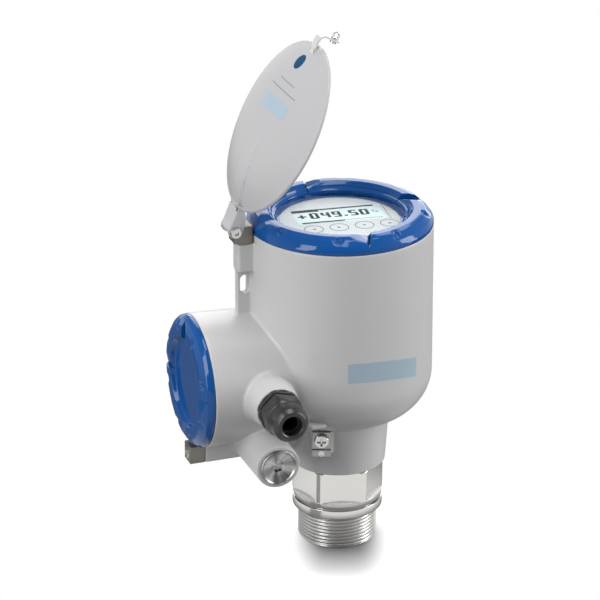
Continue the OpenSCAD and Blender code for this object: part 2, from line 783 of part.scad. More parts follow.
module hinge_screw() {
    color([0.7, 0.7, 0.7]) translate([hinge_x, 0, hinge_z]) difference() {
        union() {
            y_rod(hinge_pin_r, -arm_half - gap, arm_half + 3);
            y_rod(hinge_head_r, -arm_half - gap - hinge_head_h, -arm_half - 0.1);
            y_rod(hinge_head_r, arm_half + 0.1, arm_half + 2.4);
        }
        translate([0, -arm_half - 1.2, 0]) rotate([90, 0, 0]) cylinder(r = 1.5, h = 4, $fn = 6);
    }
}

// spring washer between the bracket and the arm
module hinge_washer() {
    color([0.6, 0.6, 0.6]) translate([hinge_x, 0, hinge_z]) difference() {
        y_rod(washer_r, -stop_w / 2 - washer_t - 0.05, -stop_w / 2 - 0.05);
        y_rod(hinge_pin_r + 0.1, -stop_w, stop_w);
    }
}

// ---- sun lid -------------------------------------------------------------------------------

function dome_z(r, sag) = sag * (1 - pow(r / lid_r, 2));

module sun_lid() {
    foot = lid_reach - ridge_from;
    foot_z = lid_plane + dome_z(ridge_from, lid_dome);
    color([0.76, 0.76, 0.75]) on_lid() {
        translate([lid_reach, 0, lid_plane]) rotate_extrude() polygon(concat(
            [for (i = [0 : 10]) [lid_r * i / 10, dome_z(lid_r * i / 10, lid_dome)]],
            [[lid_r, -lid_lip], [lid_r - lid_wall, -lid_lip]],
            [for (i = [10 : -1 : 0]) let (r = (lid_r - lid_wall) * i / 10)
                [r, dome_z(r, lid_dome) - lid_wall]]));
        // top plate of the arm, from its heel to where it meets the dome
        intersection() {
            rotate([90, 0, 0]) translate([0, 0, -arm_root_half]) linear_extrude(2 * arm_root_half)
                polygon([[-arm_heel, arm_top], [foot, foot_z], [foot + 3, foot_z - 1.5],
                    [-arm_heel, arm_top - arm_wall]]);
            linear_extrude(lid_plane + lid_dome) polygon([[-arm_heel, -arm_half], [arm_neck, -arm_half],
                [foot, -arm_root_half], [foot + 3, 0], [foot, arm_root_half], [arm_neck, arm_half],
                [-arm_heel, arm_half]]);
        }
        // both ears of the arm
        difference() {
            for (s = [-1, 1]) translate([0, s * (arm_half - arm_wall / 2), 0])
                rotate([90, 0, 0]) translate([0, 0, -arm_wall / 2]) linear_extrude(arm_wall) union() {
                    circle(r = ear_r);
                    polygon([[-arm_heel, arm_top - 0.2], [-ear_r, 0], [0, -ear_r], [3, -ear_r],
                        [arm_neck + 5, lid_plane - lid_lip], [arm_neck + 7, foot_z - 3], [4, arm_top]]);
                }
            y_rod(hinge_pin_r + run_fit, -arm_half - 1, arm_half + 1);
        }
    }
}

module on_clip() {
    on_lid() translate([lid_reach + lid_r - 3, clip_y, lid_plane]) children();
}

// bent strap riveted to the lid's far end, with an eye for the thumb screw
module lid_clip() {
    color([0.66, 0.66, 0.65]) on_clip() difference() {
        rotate([90, 0, 0]) translate([0, 0, -clip_w / 2]) linear_extrude(clip_w)
            polygon([[-3, 1.9], [-1, 1.35], [1.2, 2], [4, 2.4], [clip_x - 1, 1.7], [clip_x, 0.8],
                [clip_x, clip_low], [clip_x + clip_t, clip_low], [clip_x + clip_t, 1.2],
                [clip_x, 2.9], [4, 3.6], [1, 3.2], [-3, 2.6]]);
        translate([clip_x - 1, 0, clip_screw_z]) rotate([0, 90, 0]) cylinder(r = clip_screw_r + 0.1, h = 4);
    }
}

// captive thumb screw
module lid_screw() {
    color([0.6, 0.6, 0.6]) on_clip() translate([clip_x, 0, clip_screw_z]) difference() {
        union() {
            translate([-1.4, 0, 0]) rotate([0, 90, 0]) cylinder(r = clip_knob_r, h = 1.3);
            translate([-0.2, 0, 0]) rotate([0, 90, 0]) cylinder(r = clip_screw_r, h = clip_t + 1.8);
            translate([clip_t + 0.1, 0, 0]) rotate([0, 90, 0]) cylinder(r = clip_head_r, h = 1);
            translate([clip_t + 2.4, 0, 0]) y_rod(clip_wing_r, -0.6, 0.6);
        }
        translate([clip_t + 2.6, 0, 0]) y_rod(clip_wing_r - 1.1, -1, 1);
    }
}

// ---- drawing -------------------------------------------------------------------------------

process_connection();
lens_antenna();
lens_seal();
feed_horn();
neck_seal();
neck_clip();
housing();
radar_module();
electronics_module();
display_bezel();
lcd_panel();
key(0);  // key_1
key(1);  // key_2
key(2);  // key_3
key(3);  // key_4
display_cover();
cover_window();
window_gasket();
window_ring();
display_cover_seal();
terminal_cover();
terminal_cover_seal();
terminal_block();
terminal_screws();
inner_earth_screw();
gland_body();
gland_seal_ring();
gland_nut();
gland_insert();
blanking_plug();
plug_seal();
earth_clamp();
earth_screw();
hinge_bracket();
display_stop_screw();
terminal_stop();
terminal_stop_screw();
hinge_screw();
hinge_washer();
sun_lid();
lid_clip();
lid_screw();
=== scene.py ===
"""Looks of the radar level transmitter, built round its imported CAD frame.

Sizes are millimetres, except in the last section, where the floor, the lights and the camera are in metres.
"""

import math

import bmesh
import bpy
import numpy as np
from mathutils import Matrix, Vector

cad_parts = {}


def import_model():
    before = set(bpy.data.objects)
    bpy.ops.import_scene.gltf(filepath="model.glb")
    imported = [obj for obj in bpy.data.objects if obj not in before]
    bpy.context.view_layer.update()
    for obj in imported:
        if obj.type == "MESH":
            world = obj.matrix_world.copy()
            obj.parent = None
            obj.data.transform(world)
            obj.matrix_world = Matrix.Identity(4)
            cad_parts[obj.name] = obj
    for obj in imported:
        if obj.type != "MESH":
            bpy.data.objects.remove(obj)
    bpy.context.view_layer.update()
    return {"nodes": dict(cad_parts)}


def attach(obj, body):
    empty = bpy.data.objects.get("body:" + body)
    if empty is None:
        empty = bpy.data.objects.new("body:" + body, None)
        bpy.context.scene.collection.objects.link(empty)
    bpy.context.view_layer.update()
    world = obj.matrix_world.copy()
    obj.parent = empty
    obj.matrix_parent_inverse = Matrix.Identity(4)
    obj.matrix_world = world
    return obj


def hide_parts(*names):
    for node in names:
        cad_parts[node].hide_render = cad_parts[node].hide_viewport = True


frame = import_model()
MM = 0.001
TAU = 2 * math.pi

# ---- sizes shared with the CAD part ----
COLLAR_R, THREAD_R, THREAD_LEN, PITCH, THREAD_DEPTH = 27.5, 23.9, 21.8, 2.309, 1.35
HEX_Z, NECK_Z, HEX_AF = 10.0, 30.3, 49.2
DRUM_R, DRUM_LOW_R, CORNER_Z, CORNER_R, RIM_Z = 55.4, 56.2, 92.0, 29.0, 184.0
NECK_R, NECK_TOP_R = 28.8, 30.9
TDRUM_R, TDRUM_ROOT_R, TDRUM_X, TDRUM_Z = 40.4, 39.2, 90.5, 94.5
ENTRY_X, ENTRY_Y, PLUG_Z = 57.5, 54.3, 57.3
LID_R, LID_DOME, LID_X, LID_PLANE, LID_OPEN = 53.0, 8.6, 65.75, 3.49, 61.8
HINGE_X, HINGE_Z = -67.3, 188.5
BEZEL_TOP = 185.1


# ---- frames: local millimetres to the row frame ----
def axes(origin, x, y, z):
    """A frame from its origin and its three axes."""
    m = np.eye(4)
    m[:3, 0], m[:3, 1], m[:3, 2], m[:3, 3] = x, y, z, origin
    return m


def turned_z(deg, origin):
    """A frame turned round its z axis."""
    c, s = math.cos(math.radians(deg)), math.sin(math.radians(deg))
    return axes(origin, (c, s, 0), (-s, c, 0), (0, 0, 1))


def moved(x, y, z):
    """A frame that is moved and not turned."""
    return axes((x, y, z), (1, 0, 0), (0, 1, 0), (0, 0, 1))


def facing(x, y, z):
    """A frame whose z axis looks along -Y, so that plates can be drawn as (x, z) points."""
    return axes((x, y, z), (1, 0, 0), (0, 0, 1), (0, -1, 0))


WORLD = np.eye(4)
ON_TDRUM = axes((-TDRUM_X, 0, TDRUM_Z), (0, 0, 1), (0, 1, 0), (-1, 0, 0))
ON_GLAND = facing(-ENTRY_X, -ENTRY_Y, TDRUM_Z)
ON_PLUG = facing(-ENTRY_X, -ENTRY_Y, PLUG_Z)
LID_COS, LID_SIN = math.cos(math.radians(LID_OPEN)), math.sin(math.radians(LID_OPEN))
ON_LID = axes((HINGE_X, 0, HINGE_Z), (LID_COS, 0, LID_SIN), (0, 1, 0), (-LID_SIN, 0, LID_COS))
ON_DISPLAY = turned_z(-6, (0, 0, BEZEL_TOP))
AT_EARTH = turned_z(-20, (0, 0, 0)) @ moved(-10.1, 0, 57.4)


def put(points, m):
    """Points of the frame m, in the row frame."""
    points = np.asarray(points, float)
    return points @ m[:3, :3].T + m[:3, 3]


# ---- mesh helpers ----
def around(n):
    """n even angles of a full turn."""
    return np.linspace(0, TAU, n, endpoint=False)


def grid(p, wrap_u=False, wrap_v=False):
    """(points, quads) of a grid of points p[u, v]."""
    nu, nv = p.shape[:2]
    ids = np.arange(nu * nv).reshape(nu, nv)
    u = np.arange(nu if wrap_u else nu - 1)
    v = np.arange(nv if wrap_v else nv - 1)
    u, v = np.meshgrid(u, v, indexing="ij")
    u2, v2 = (u + 1) % nu, (v + 1) % nv
    quads = np.stack([ids[u, v], ids[u2, v], ids[u2, v2], ids[u, v2]], -1).reshape(-1, 4)
    return p.reshape(-1, 3), quads


def rounded(points):
    """A profile whose corners (x, y, radius) are rounded. A radius of 0 keeps the corner."""
    steps = 5
    out = []
    for i, (x, y, r) in enumerate(points):
        if r <= 0 or i in (0, len(points) - 1):
            out.append((x, y))
            continue
        corner = np.array((x, y))
        back, on = np.array(points[i - 1][:2]) - corner, np.array(points[i + 1][:2]) - corner
        back_len, on_len = np.linalg.norm(back), np.linalg.norm(on)
        back, on = back / back_len, on / on_len
        half = math.acos(max(-1, min(1, float(back @ on)))) / 2
        if half > math.pi / 2 - 0.02:
            out.append((x, y))
            continue
        reach = min(r / math.tan(half), 0.49 * back_len, 0.49 * on_len)
        radius = reach * math.tan(half)
        middle = back + on
        centre = corner + middle / np.linalg.norm(middle) * radius / math.sin(half)
        start, stop = corner + back * reach - centre, corner + on * reach - centre
        a0, a1 = math.atan2(start[1], start[0]), math.atan2(stop[1], stop[0])
        if a1 - a0 > math.pi:
            a1 -= TAU
        if a0 - a1 > math.pi:
            a1 += TAU
        for k in range(steps + 1):
            a = a0 + (a1 - a0) * k / steps
            out.append((centre[0] + radius * math.cos(a), centre[1] + radius * math.sin(a)))
    return np.array(out)


def loft(loops, at=WORLD, closed=False):
    """Skin through closed loops of points. A closed loft also joins its last loop to its first."""
    v, f = grid(np.array(loops).transpose(1, 0, 2), wrap_u=True, wrap_v=closed)
    return put(v, at), f


def through_rings(q, rings, at=WORLD, closed=False):
    """Skin through rings. Each ring is (its radius at the angles q, z)."""
    loops = [np.stack([r * np.cos(q), r * np.sin(q), np.full(len(q), z)], -1) for r, z in rings]
    return loft(loops, at, closed)


def lathe(profile, n=160, at=WORLD, closed=False):
    """Turns (r, z) points round +Z of the frame at."""
    return through_rings(around(n), profile, at, closed)


def from_bmesh(bm, at):
    """(points, faces) of a bmesh drawn in the frame at."""
    bm.verts.index_update()
    v = np.array([tuple(x.co) for x in bm.verts])
    f = [[x.index for x in face.verts] for face in bm.faces]
    bm.free()
    return put(v, at), f


def box(low, high, bevel=0.6, at=WORLD):
    """A block between two corners, with bevelled edges."""
    bm = bmesh.new()
    bmesh.ops.create_cube(bm, size=1)
    low, high = np.array(low, float), np.array(high, float)
    for x in bm.verts:
        x.co = Vector((np.array(x.co) + 0.5) * (high - low) + low)
    if bevel:
        bmesh.ops.bevel(bm, geom=bm.edges[:], offset=bevel, segments=3, profile=0.5, affect="EDGES")
    return from_bmesh(bm, at)


def prism(outline, z0, z1, bevel=0.0, at=WORLD):
    """Extrudes a flat outline from z0 to z1, with its rim edges bevelled."""
    bm = bmesh.new()
    low = [bm.verts.new((x, y, z0)) for x, y in outline]
    high = [bm.verts.new((x, y, z1)) for x, y in outline]
    n = len(outline)
    bm.faces.new(low[::-1])
    bm.faces.new(high)
    for i in range(n):
        bm.faces.new((low[i], low[(i + 1) % n], high[(i + 1) % n], high[i]))
    bmesh.ops.recalc_face_normals(bm, faces=bm.faces[:])
    if bevel:
        rim = [e for e in bm.edges if abs(e.verts[0].co.z - e.verts[1].co.z) < 1e-6]
        bmesh.ops.bevel(bm, geom=rim, offset=bevel, segments=2, profile=0.5, affect="EDGES",
                        clamp_overlap=True)
    return from_bmesh(bm, at)


def circle(r, cx, cy):
    """Outline of a circle."""
    n = 64
    return [(cx + r * math.cos(TAU * i / n), cy + r * math.sin(TAU * i / n)) for i in range(n)]


def joined(parts):
    """Several (points, faces) parts as one."""
    points, faces, base = [], [], 0
    for v, f in parts:
        points.append(np.asarray(v))
        faces += [[int(i) + base for i in face] for face in f]
        base += len(v)
    return np.concatenate(points), faces


def obj(name, parts, material, body, stands_for=(), sharp=35, normals=None, weld=1e-5):
    """One mesh object from (points, faces) parts, riding on a body."""
    v, faces = joined(parts)
    me = bpy.data.meshes.new(name)
    me.from_pydata((v * MM).tolist(), [], faces)
    if normals is None and weld:
        bm = bmesh.new()
        bm.from_mesh(me)
        bmesh.ops.remove_doubles(bm, verts=bm.verts[:], dist=weld)
        bmesh.ops.dissolve_degenerate(bm, edges=bm.edges[:], dist=1e-7)
        bmesh.ops.recalc_face_normals(bm, faces=bm.faces[:])
        bm.to_mesh(me)
        bm.free()
    me.polygons.foreach_set("use_smooth", [True] * len(me.polygons))
    me.update()
    if normals is not None:
        me.normals_split_custom_set_from_vertices(normals.tolist())
    elif sharp:
        me.set_sharp_from_angle(angle=math.radians(sharp))
    me.materials.append(material)
    o = bpy.data.objects.new(name, me)
    bpy.context.scene.collection.objects.link(o)
    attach(o, body)
    if stands_for:
        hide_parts(*stands_for)
    return o


# ---- materials ----
BUMP_HEIGHT, WIDE_GRAIN, LEAST_ROUGH = 0.0003, 14, 0.02
# where the painted reflection on the turned plug face turns from dark to bright
REFLECTION_STREAK_EDGES = (0.36, 0.66)


def node(nt, kind, inputs=(), **settings):
    """Adds a shader node with its settings. Inputs are (socket, value or the output of another node)."""
    n = nt.nodes.new("ShaderNode" + kind)
    for key, value in settings.items():
        setattr(n, key, value)
    for socket, value in inputs:
        if isinstance(value, bpy.types.NodeSocket):
            nt.links.new(value, n.inputs[socket])
        else:
            n.inputs[socket].default_value = value
    return n


def ramp(nt, value, low, high, to_low=0.0, to_high=1.0, smooth=True):
    """Maps low..high of a value to to_low..to_high."""
    kind = "SMOOTHSTEP" if smooth else "LINEAR"
    spans = [("Value", value), ("From Min", low), ("From Max", high), ("To Min", to_low), ("To Max", to_high)]
    return node(nt, "MapRange", spans, interpolation_type=kind).outputs["Result"]


def maths(nt, operation, a, b=0.0, clamp=False):
    """The result of one math node. a and b are numbers or the outputs of other nodes."""
    return node(nt, "Math", [(0, a), (1, b)], operation=operation, use_clamp=clamp).outputs[0]


def product(nt, first, *others):
    """All values multiplied."""
    for value in others:
        first = maths(nt, "MULTIPLY", first, value)
    return first


def total(nt, first, *others):
    """All values added."""
    for value in others:
        first = maths(nt, "ADD", first, value)
    return first


def noise(nt, place, scale, detail=2):
    """Grey noise, from 0 to 1."""
    return node(nt, "TexNoise", [("Vector", place), ("Scale", scale), ("Detail", detail)]).outputs["Fac"]


def dot(nt, a, b):
    """How far the vector a goes along b."""
    return node(nt, "VectorMath", [(0, a), (1, b)], operation="DOT_PRODUCT").outputs["Value"]


def blank_tree(owner):
    """Empties the node tree of a material or a world and gives it an output."""
    owner.use_nodes = True
    nt = owner.node_tree
    nt.nodes.clear()
    kind = "World" if isinstance(owner, bpy.types.World) else "Material"
    return nt, node(nt, "Output" + kind)


def shader(name, colour, rough, metal=0.0, coat=0.0, bump=0.05, grain=900.0, spread=0.05, stretch=(1, 1, 1),
           soft_edge=0.0, tint=0.03, coat_rough=0.08, specular=0.5, coat_ior=1.5):
    """A principled surface with a fine procedural grain in its bump, roughness and colour."""
    m = bpy.data.materials.new(name)
    m.use_nodes = True
    nt = m.node_tree
    p = nt.nodes["Principled BSDF"]
    for socket, value in (("Metallic", metal), ("Coat Weight", coat), ("Coat Roughness", coat_rough),
                          ("Coat IOR", coat_ior), ("Specular IOR Level", specular)):
        p.inputs[socket].default_value = value
    place = node(nt, "Mapping", [("Vector", node(nt, "TexCoord").outputs["Object"]), ("Scale", stretch)])
    place = place.outputs["Vector"]
    fine, wide = noise(nt, place, grain, 4), noise(nt, place, grain / WIDE_GRAIN, 3)
    patchy = ramp(nt, wide, 0.0, 1.0, max(LEAST_ROUGH, rough - spread), rough + spread, smooth=False)
    nt.links.new(patchy, p.inputs["Roughness"])
    darker = (*[c * (1 - tint) for c in colour], 1)
    paler = (*[min(1, c * (1 + tint)) for c in colour], 1)
    mix = node(nt, "Mix", [(0, wide), (6, darker), (7, paler)], data_type="RGBA")
    nt.links.new(mix.outputs[2], p.inputs["Base Color"])
    relief = node(nt, "Bump", [("Strength", bump), ("Distance", BUMP_HEIGHT), ("Height", fine)])
    if soft_edge:
        bevel = node(nt, "Bevel", [("Radius", soft_edge * MM)], samples=6)
        nt.links.new(bevel.outputs["Normal"], relief.inputs["Normal"])
    nt.links.new(relief.outputs["Normal"], p.inputs["Normal"])
    return m


PAINT = shader("housing paint", (0.56, 0.56, 0.56), 0.40, coat=0.25, bump=0.06, soft_edge=0.8, tint=0.012,
               coat_rough=0.25)
LID_PAINT = shader("lid paint", (0.455, 0.455, 0.465), 0.40, coat=0.15, bump=0.06, tint=0.012,
                   coat_rough=0.25)
BLUE = shader("cover blue", (0.0005, 0.072, 0.285), 0.40, coat=1.0, bump=0.03, grain=700, tint=0.02,
              coat_rough=0.07, specular=0.0, coat_ior=1.38)
STEEL = shader("turned steel", (0.72, 0.71, 0.69), 0.19, metal=1, bump=0.04, grain=500, spread=0.03,
               stretch=(1, 1, 9))
THREAD_STEEL = shader("thread steel", (0.66, 0.655, 0.64), 0.33, metal=1, bump=0.02, grain=500, spread=0.03)
# for the collar's upward ledge round the hexagon's foot: a matt finish and a paler colour than the turned
# steel of the same part; the paleness is painted light falling on it from above
PALE_LIT_STEEL = shader("matt steel painted lit", (0.92, 0.915, 0.90), 0.60, metal=0.15, bump=0.02, grain=500, spread=0.03)
CLIP_STEEL = shader("clip steel", (0.72, 0.715, 0.70), 0.42, metal=0.55, bump=0.10, grain=600, spread=0.08,
                    tint=0.04)
PLUG_STEEL = shader("plug steel", (0.36, 0.36, 0.36), 0.30, metal=1, bump=0.25, grain=260, spread=0.08,
                    tint=0.25)
PLATE_STEEL = shader("plate steel", (0.30, 0.295, 0.285), 0.30, metal=1, bump=0.15, grain=600, spread=0.08,
                     tint=0.05)
SCREW_STEEL = shader("screw steel", (0.58, 0.575, 0.56), 0.22, metal=1, bump=0.10, spread=0.06, tint=0.05)
STOP_STEEL = shader("stop steel", (0.20, 0.185, 0.165), 0.42, metal=0.75, bump=0.35, grain=700, spread=0.10,
                    tint=0.12)
GLAND = shader("gland black", (0.020, 0.020, 0.020), 0.27, bump=0.10, grain=800, spread=0.06, tint=0.10)
RUBBER = shader("black rubber", (0.012, 0.012, 0.012), 0.60, bump=0.20, spread=0.08, tint=0.15)
BEZEL = shader("bezel", (0.62, 0.63, 0.64), 0.50, tint=0.01)
KEY = shader("key", (0.62, 0.63, 0.64), 0.48, tint=0.01)
INK = shader("key ink", (0.03, 0.04, 0.06), 0.55, tint=0.05, specular=0.05)
LCD = shader("screen", (0.66, 0.78, 0.79), 0.45, coat=0.2, bump=0.02, tint=0.02)
LCD_INK = shader("screen ink", (0.003, 0.006, 0.007), 0.60, bump=0.02, tint=0.05, specular=0.0)
PRINT_BLUE = shader("print blue", (0.003, 0.062, 0.15), 0.45, specular=0.1)
PRINT_PALE = shader("print pale", (0.36, 0.47, 0.56), 0.45, tint=0.02)
PRINT_GREY = shader("print grey", (0.24, 0.27, 0.31), 0.50)
LENS = shader("lens plastic", (0.80, 0.79, 0.75), 0.45, tint=0.02)
MODULE = shader("module", (0.03, 0.035, 0.035), 0.55, bump=0.1, grain=700, tint=0.08)


def paint_streak_reflection(m, at, low, high, scale):
    """Painted reflection on a turned face: bright and dark rays in the base colour that run out from the axis
    of the frame at, standing in for its radial highlights.
    """
    nt = m.node_tree
    centre = Vector(at[:3, 3] * MM)
    place = node(nt, "TexCoord").outputs["Object"]
    off = node(nt, "VectorMath", [(0, place), (1, centre)], operation="SUBTRACT").outputs["Vector"]
    across = [(k, dot(nt, off, Vector(at[:3, k]))) for k in (0, 1)]
    unit = node(nt, "VectorMath", [(0, node(nt, "CombineXYZ", across).outputs[0])], operation="NORMALIZE")
    grey = ramp(nt, noise(nt, unit.outputs["Vector"], scale, 5), *REFLECTION_STREAK_EDGES, low, high)
    nt.links.new(grey, nt.nodes["Principled BSDF"].inputs["Base Color"])


def clear(name):
    """Thin clear glass: mostly see-through, with a faint gloss."""
    m = bpy.data.materials.new(name)
    nt, out = blank_tree(m)
    through = node(nt, "BsdfTransparent", [("Color", (0.97, 0.985, 0.985, 1))])
    spots = noise(nt, node(nt, "TexCoord").outputs["Object"], 60)
    rough = ramp(nt, spots, 0.0, 1.0, 0.02, 0.06, smooth=False)
    gloss = node(nt, "BsdfGlossy", [("Roughness", rough)])
    mix = node(nt, "MixShader", [("Fac", 0.02), (1, through.outputs[0]), (2, gloss.outputs[0])])
    nt.links.new(mix.outputs[0], out.inputs["Surface"])
    return m


GLASS = clear("window glass")


# ---- process connection ----
def hex_radius(q, af, turn_deg):
    """Distance from a hexagon's axis to its side at angle q."""
    w = (q - math.radians(turn_deg)) % (math.pi / 3) - math.pi / 6
    return af / 2 / np.cos(w)


def process_connection():
    """Threaded boss with its collar, its groove and its hexagon."""
    q = around(300)
    root = THREAD_R - THREAD_DEPTH - 0.1
    # thread: a 55 degree form with rounded crests and roots, a chamfer at its end and a faded start
    crest, soft = 0.13, 0.35
    rings = []
    for z in np.linspace(-THREAD_LEN + 0.02, -1.2, 160):
        flank = np.abs(((z / PITCH - q / TAU) % 1.0) * 2 - 1)
        form = np.clip((flank - crest) / (1 - 2 * crest), 0, 1)
        form = form * form * (3 - 2 * form) * soft + form * (1 - soft)
        r = THREAD_R - THREAD_DEPTH * (1 - form)
        chamfer = THREAD_R - 1.5 + (z + THREAD_LEN) * 0.9
        fade = np.clip((z + 2.6) / 1.3, 0, 1)
        rings.append((np.minimum(r * (1 - fade) + root * fade, chamfer), z))
    obj("process_thread", [through_rings(q, rings)], THREAD_STEEL, "connection", sharp=0)

    # the ledge at the hexagon's foot, in the paler matt copy of the steel, whose paleness is painted light
    ledge = lathe([(COLLAR_R - 0.25, HEX_Z - 0.05), (HEX_AF / 2 - 0.4, HEX_Z + 0.1)], len(q))
    obj("hexagon_ledge", [ledge], PALE_LIT_STEEL, "connection")

    groove = COLLAR_R - 2.6
    collar = lathe(rounded([(root, -1.2, 0), (root, 0, 0.4), (COLLAR_R, 0, 0.5), (COLLAR_R, 5.5, 0.25),
                            (groove, 5.5, 0.1), (groove, 6.5, 0.1), (COLLAR_R - 0.5, 6.5, 0.15),
                            (COLLAR_R, HEX_Z, 0.2), (COLLAR_R - 0.25, HEX_Z, 0)]), len(q))
    # hexagon turned down at its corners
    flat = hex_radius(q, HEX_AF, 45)
    heights = np.concatenate([np.linspace(0, 2.4, 10), np.linspace(2.6, 17.6, 8), np.linspace(17.8, 20, 9)])
    hexagon = through_rings(q, [(np.minimum(flat, COLLAR_R - max(0.0, h - 19.0) * 0.9), HEX_Z + h)
                                for h in heights])
    top = lathe([(HEX_AF / 2 + 0.3, NECK_Z - 0.3), (24.4, NECK_Z - 0.3), (24.4, NECK_Z + 3)], len(q))
    end = lathe(rounded([(THREAD_R - 1.5, -THREAD_LEN + 0.02, 0), (THREAD_R - 2.0, -THREAD_LEN, 0.2),
                         (19.75, -THREAD_LEN, 0.3), (19.75, -11.2, 0)]), len(q))
    obj("process_connection_body", [collar, hexagon, top, end], STEEL, "connection", ["process_connection"],
        sharp=28)


process_connection()

# lens: shallow dish with a stepped rim
lens = rounded([(0, -21.3, 0), (6, -21.22, 0), (12, -21.0, 0), (19.5, -20.5, 0.4), (19.5, -12, 0)])
obj("lens", [lathe(lens, 128)], LENS, "connection", ["lens_antenna"])


# ---- housing: one blended casting ----
KEEL = (-86.4, -5.5, 42.0), (-20, 5.5, 66)
EARTH_PAD = (-6.5, -32.6, -10.5), (6.5, -22, 12)
FIN_HALF = 2.25
FIN = (-64.8, -FIN_HALF, 120), (-45, FIN_HALF, 170)
SLOT_X, SLOT_LOW, SLOT_HIGH, SLOT_R = -60, 150.0, 155.8, 2.95
POST = (-64.8, -5.5, 161.5), (-45, 5.5, 179)


def round_union(a, b, r):
    """Distance to two shapes joined by a fillet of radius r."""
    u, v = np.maximum(r - a, 0), np.maximum(r - b, 0)
    return np.maximum(r, np.minimum(a, b)) - np.sqrt(u * u + v * v)


def solid_box(p, low, high, r):
    """Distance to a block with edges rounded to r."""
    low, high = np.array(low, float), np.array(high, float)
    q = np.abs(p - (low + high) / 2) - (high - low) / 2 + r
    return np.linalg.norm(np.maximum(q, 0), axis=1) + np.minimum(q.max(1), 0) - r


def cone(rho, along, length, r, change):
    """Distance to the side of a cone whose radius r changes over a length along its axis."""
    return rho - (r + change * np.clip(along / length, 0, 1))


def cast_distance(p):
    """Signed distance to the casting's outside, open at its rims."""
    x, y, z = p[:, 0], p[:, 1], p[:, 2]
    r = np.hypot(x, y)
    wall = DRUM_LOW_R + (DRUM_R - DRUM_LOW_R) * np.clip((z - CORNER_Z) / (RIM_Z - CORNER_Z), 0, 1)
    qx, qz = r - (wall - CORNER_R), CORNER_Z - z
    d = np.hypot(np.maximum(qx, 0), np.maximum(qz, 0)) + np.minimum(np.maximum(qx, qz), 0) - CORNER_R
    neck = cone(r, z - NECK_Z, 33, NECK_R, NECK_TOP_R - NECK_R)
    side_drum = cone(np.hypot(y, z - TDRUM_Z), -x - 60.5, 30, TDRUM_ROOT_R, TDRUM_R - TDRUM_ROOT_R)
    gland_boss = cone(np.hypot(x + ENTRY_X, z - TDRUM_Z), -y - 43.3, 11, 15.2, -1.9)
    plug_boss = cone(np.hypot(x + ENTRY_X, z - PLUG_Z), -y - 20, 34, 13.9, -0.7)
    pad = solid_box(put(p, np.linalg.inv(AT_EARTH)), *EARTH_PAD, 1.0)
    slot = np.hypot(x - SLOT_X, z - np.clip(z, SLOT_LOW, SLOT_HIGH)) - SLOT_R
    fin = -round_union(-solid_box(p, *FIN, 0.7), slot, 0.5)
    added = ((np.maximum(neck, z - 75), 3.0), (np.maximum(side_drum, x + 5), 1.8),
             (np.maximum(gland_boss, y + 20), 2.2), (np.maximum(plug_boss, y + 4), 2.2),
             (solid_box(p, *KEEL, 1.0), 1.5), (pad, 1.6), (fin, 1.6), (solid_box(p, *POST, 0.7), 1.2))
    for shape, fillet in added:
        d = round_union(d, shape, fillet)
    return d


def gradient(p):
    """Direction in which the distance grows, which is the surface's outward normal."""
    e = 0.03
    g = np.empty_like(p)
    for k in range(3):
        h = np.zeros(3)
        h[k] = e
        g[:, k] = (cast_distance(p + h) - cast_distance(p - h)) / (2 * e)
    n = np.linalg.norm(g, axis=1, keepdims=True)
    return g / np.maximum(n, 1e-6)


def settle(p, rounds):
    """Moves points onto the casting's surface."""
    for _ in range(rounds):
        d = cast_distance(p)
        p = p - np.clip(d, -1.0, 1.0)[:, None] * gradient(p)
    return p


def slotted_fin():
    """The fin as a closed ring round its slot."""
    middle, left, right, up, down = 152.9, 4.8, 10.0, 12.0, 23.0
    loops = []
    for y, outer in ((-FIN_HALF, True), (-FIN_HALF, False), (FIN_HALF, False), (FIN_HALF, True)):
        loop = []
        for a in around(48):
            c, s = math.cos(a), math.sin(a)
            if outer:
                across, along = (left if c < 0 else right), (up if s > 0 else down)
                k = min(across / max(abs(c), 1e-9), along / max(abs(s), 1e-9))
                loop.append((SLOT_X + k * c, y, middle + k * s))
            else:
                loop.append((SLOT_X + SLOT_R * c, y, (SLOT_HIGH if s > 0 else SLOT_LOW) + SLOT_R * s))
        loops.append(loop)
    return loft(loops, closed=True)


def rough_skin():
    """An even voxel skin, as a bmesh, of rough solids close to the casting's shape."""
    rough = [
        lathe([(0, 60), (40, 60), (50, 72), (56, 92), (55.4, 186.5), (0, 186.5)], 96),
        lathe([(0, 28), (29.5, 28), (31, 66), (0, 66)], 64),
        lathe([(0, -92), (39.5, -92), (40, 2), (0, 2)], 96, ON_TDRUM),
        lathe([(0, -20), (15.5, -20), (14.5, -8), (13.4, 2), (0, 2)], 48, ON_GLAND),
        lathe([(0, -48), (13.5, -48), (13.2, 2), (0, 2)], 48, ON_PLUG),
        box(*KEEL, 0),
        box(*EARTH_PAD, 0, AT_EARTH),
        slotted_fin(),
        box(*POST, 0),
    ]
    v, f = joined(rough)
    me = bpy.data.meshes.new("rough")
    me.from_pydata(v.tolist(), [], f)
    o = bpy.data.objects.new("rough", me)
    bpy.context.scene.collection.objects.link(o)
    bm = bmesh.new()
    bm.from_mesh(me)
    bmesh.ops.remove_doubles(bm, verts=bm.verts[:], dist=1e-4)
    bmesh.ops.recalc_face_normals(bm, faces=bm.faces[:])
    bm.to_mesh(me)
    bm.free()
    mod = o.modifiers.new("skin", "REMESH")
    mod.mode = "VOXEL"
    mod.voxel_size = 1.0
    dg = bpy.context.evaluated_depsgraph_get()
    skin = bpy.data.meshes.new_from_object(o.evaluated_get(dg))
    bpy.data.objects.remove(o)
    bm = bmesh.new()
    bm.from_mesh(skin)
    bpy.data.meshes.remove(skin)
    return bm


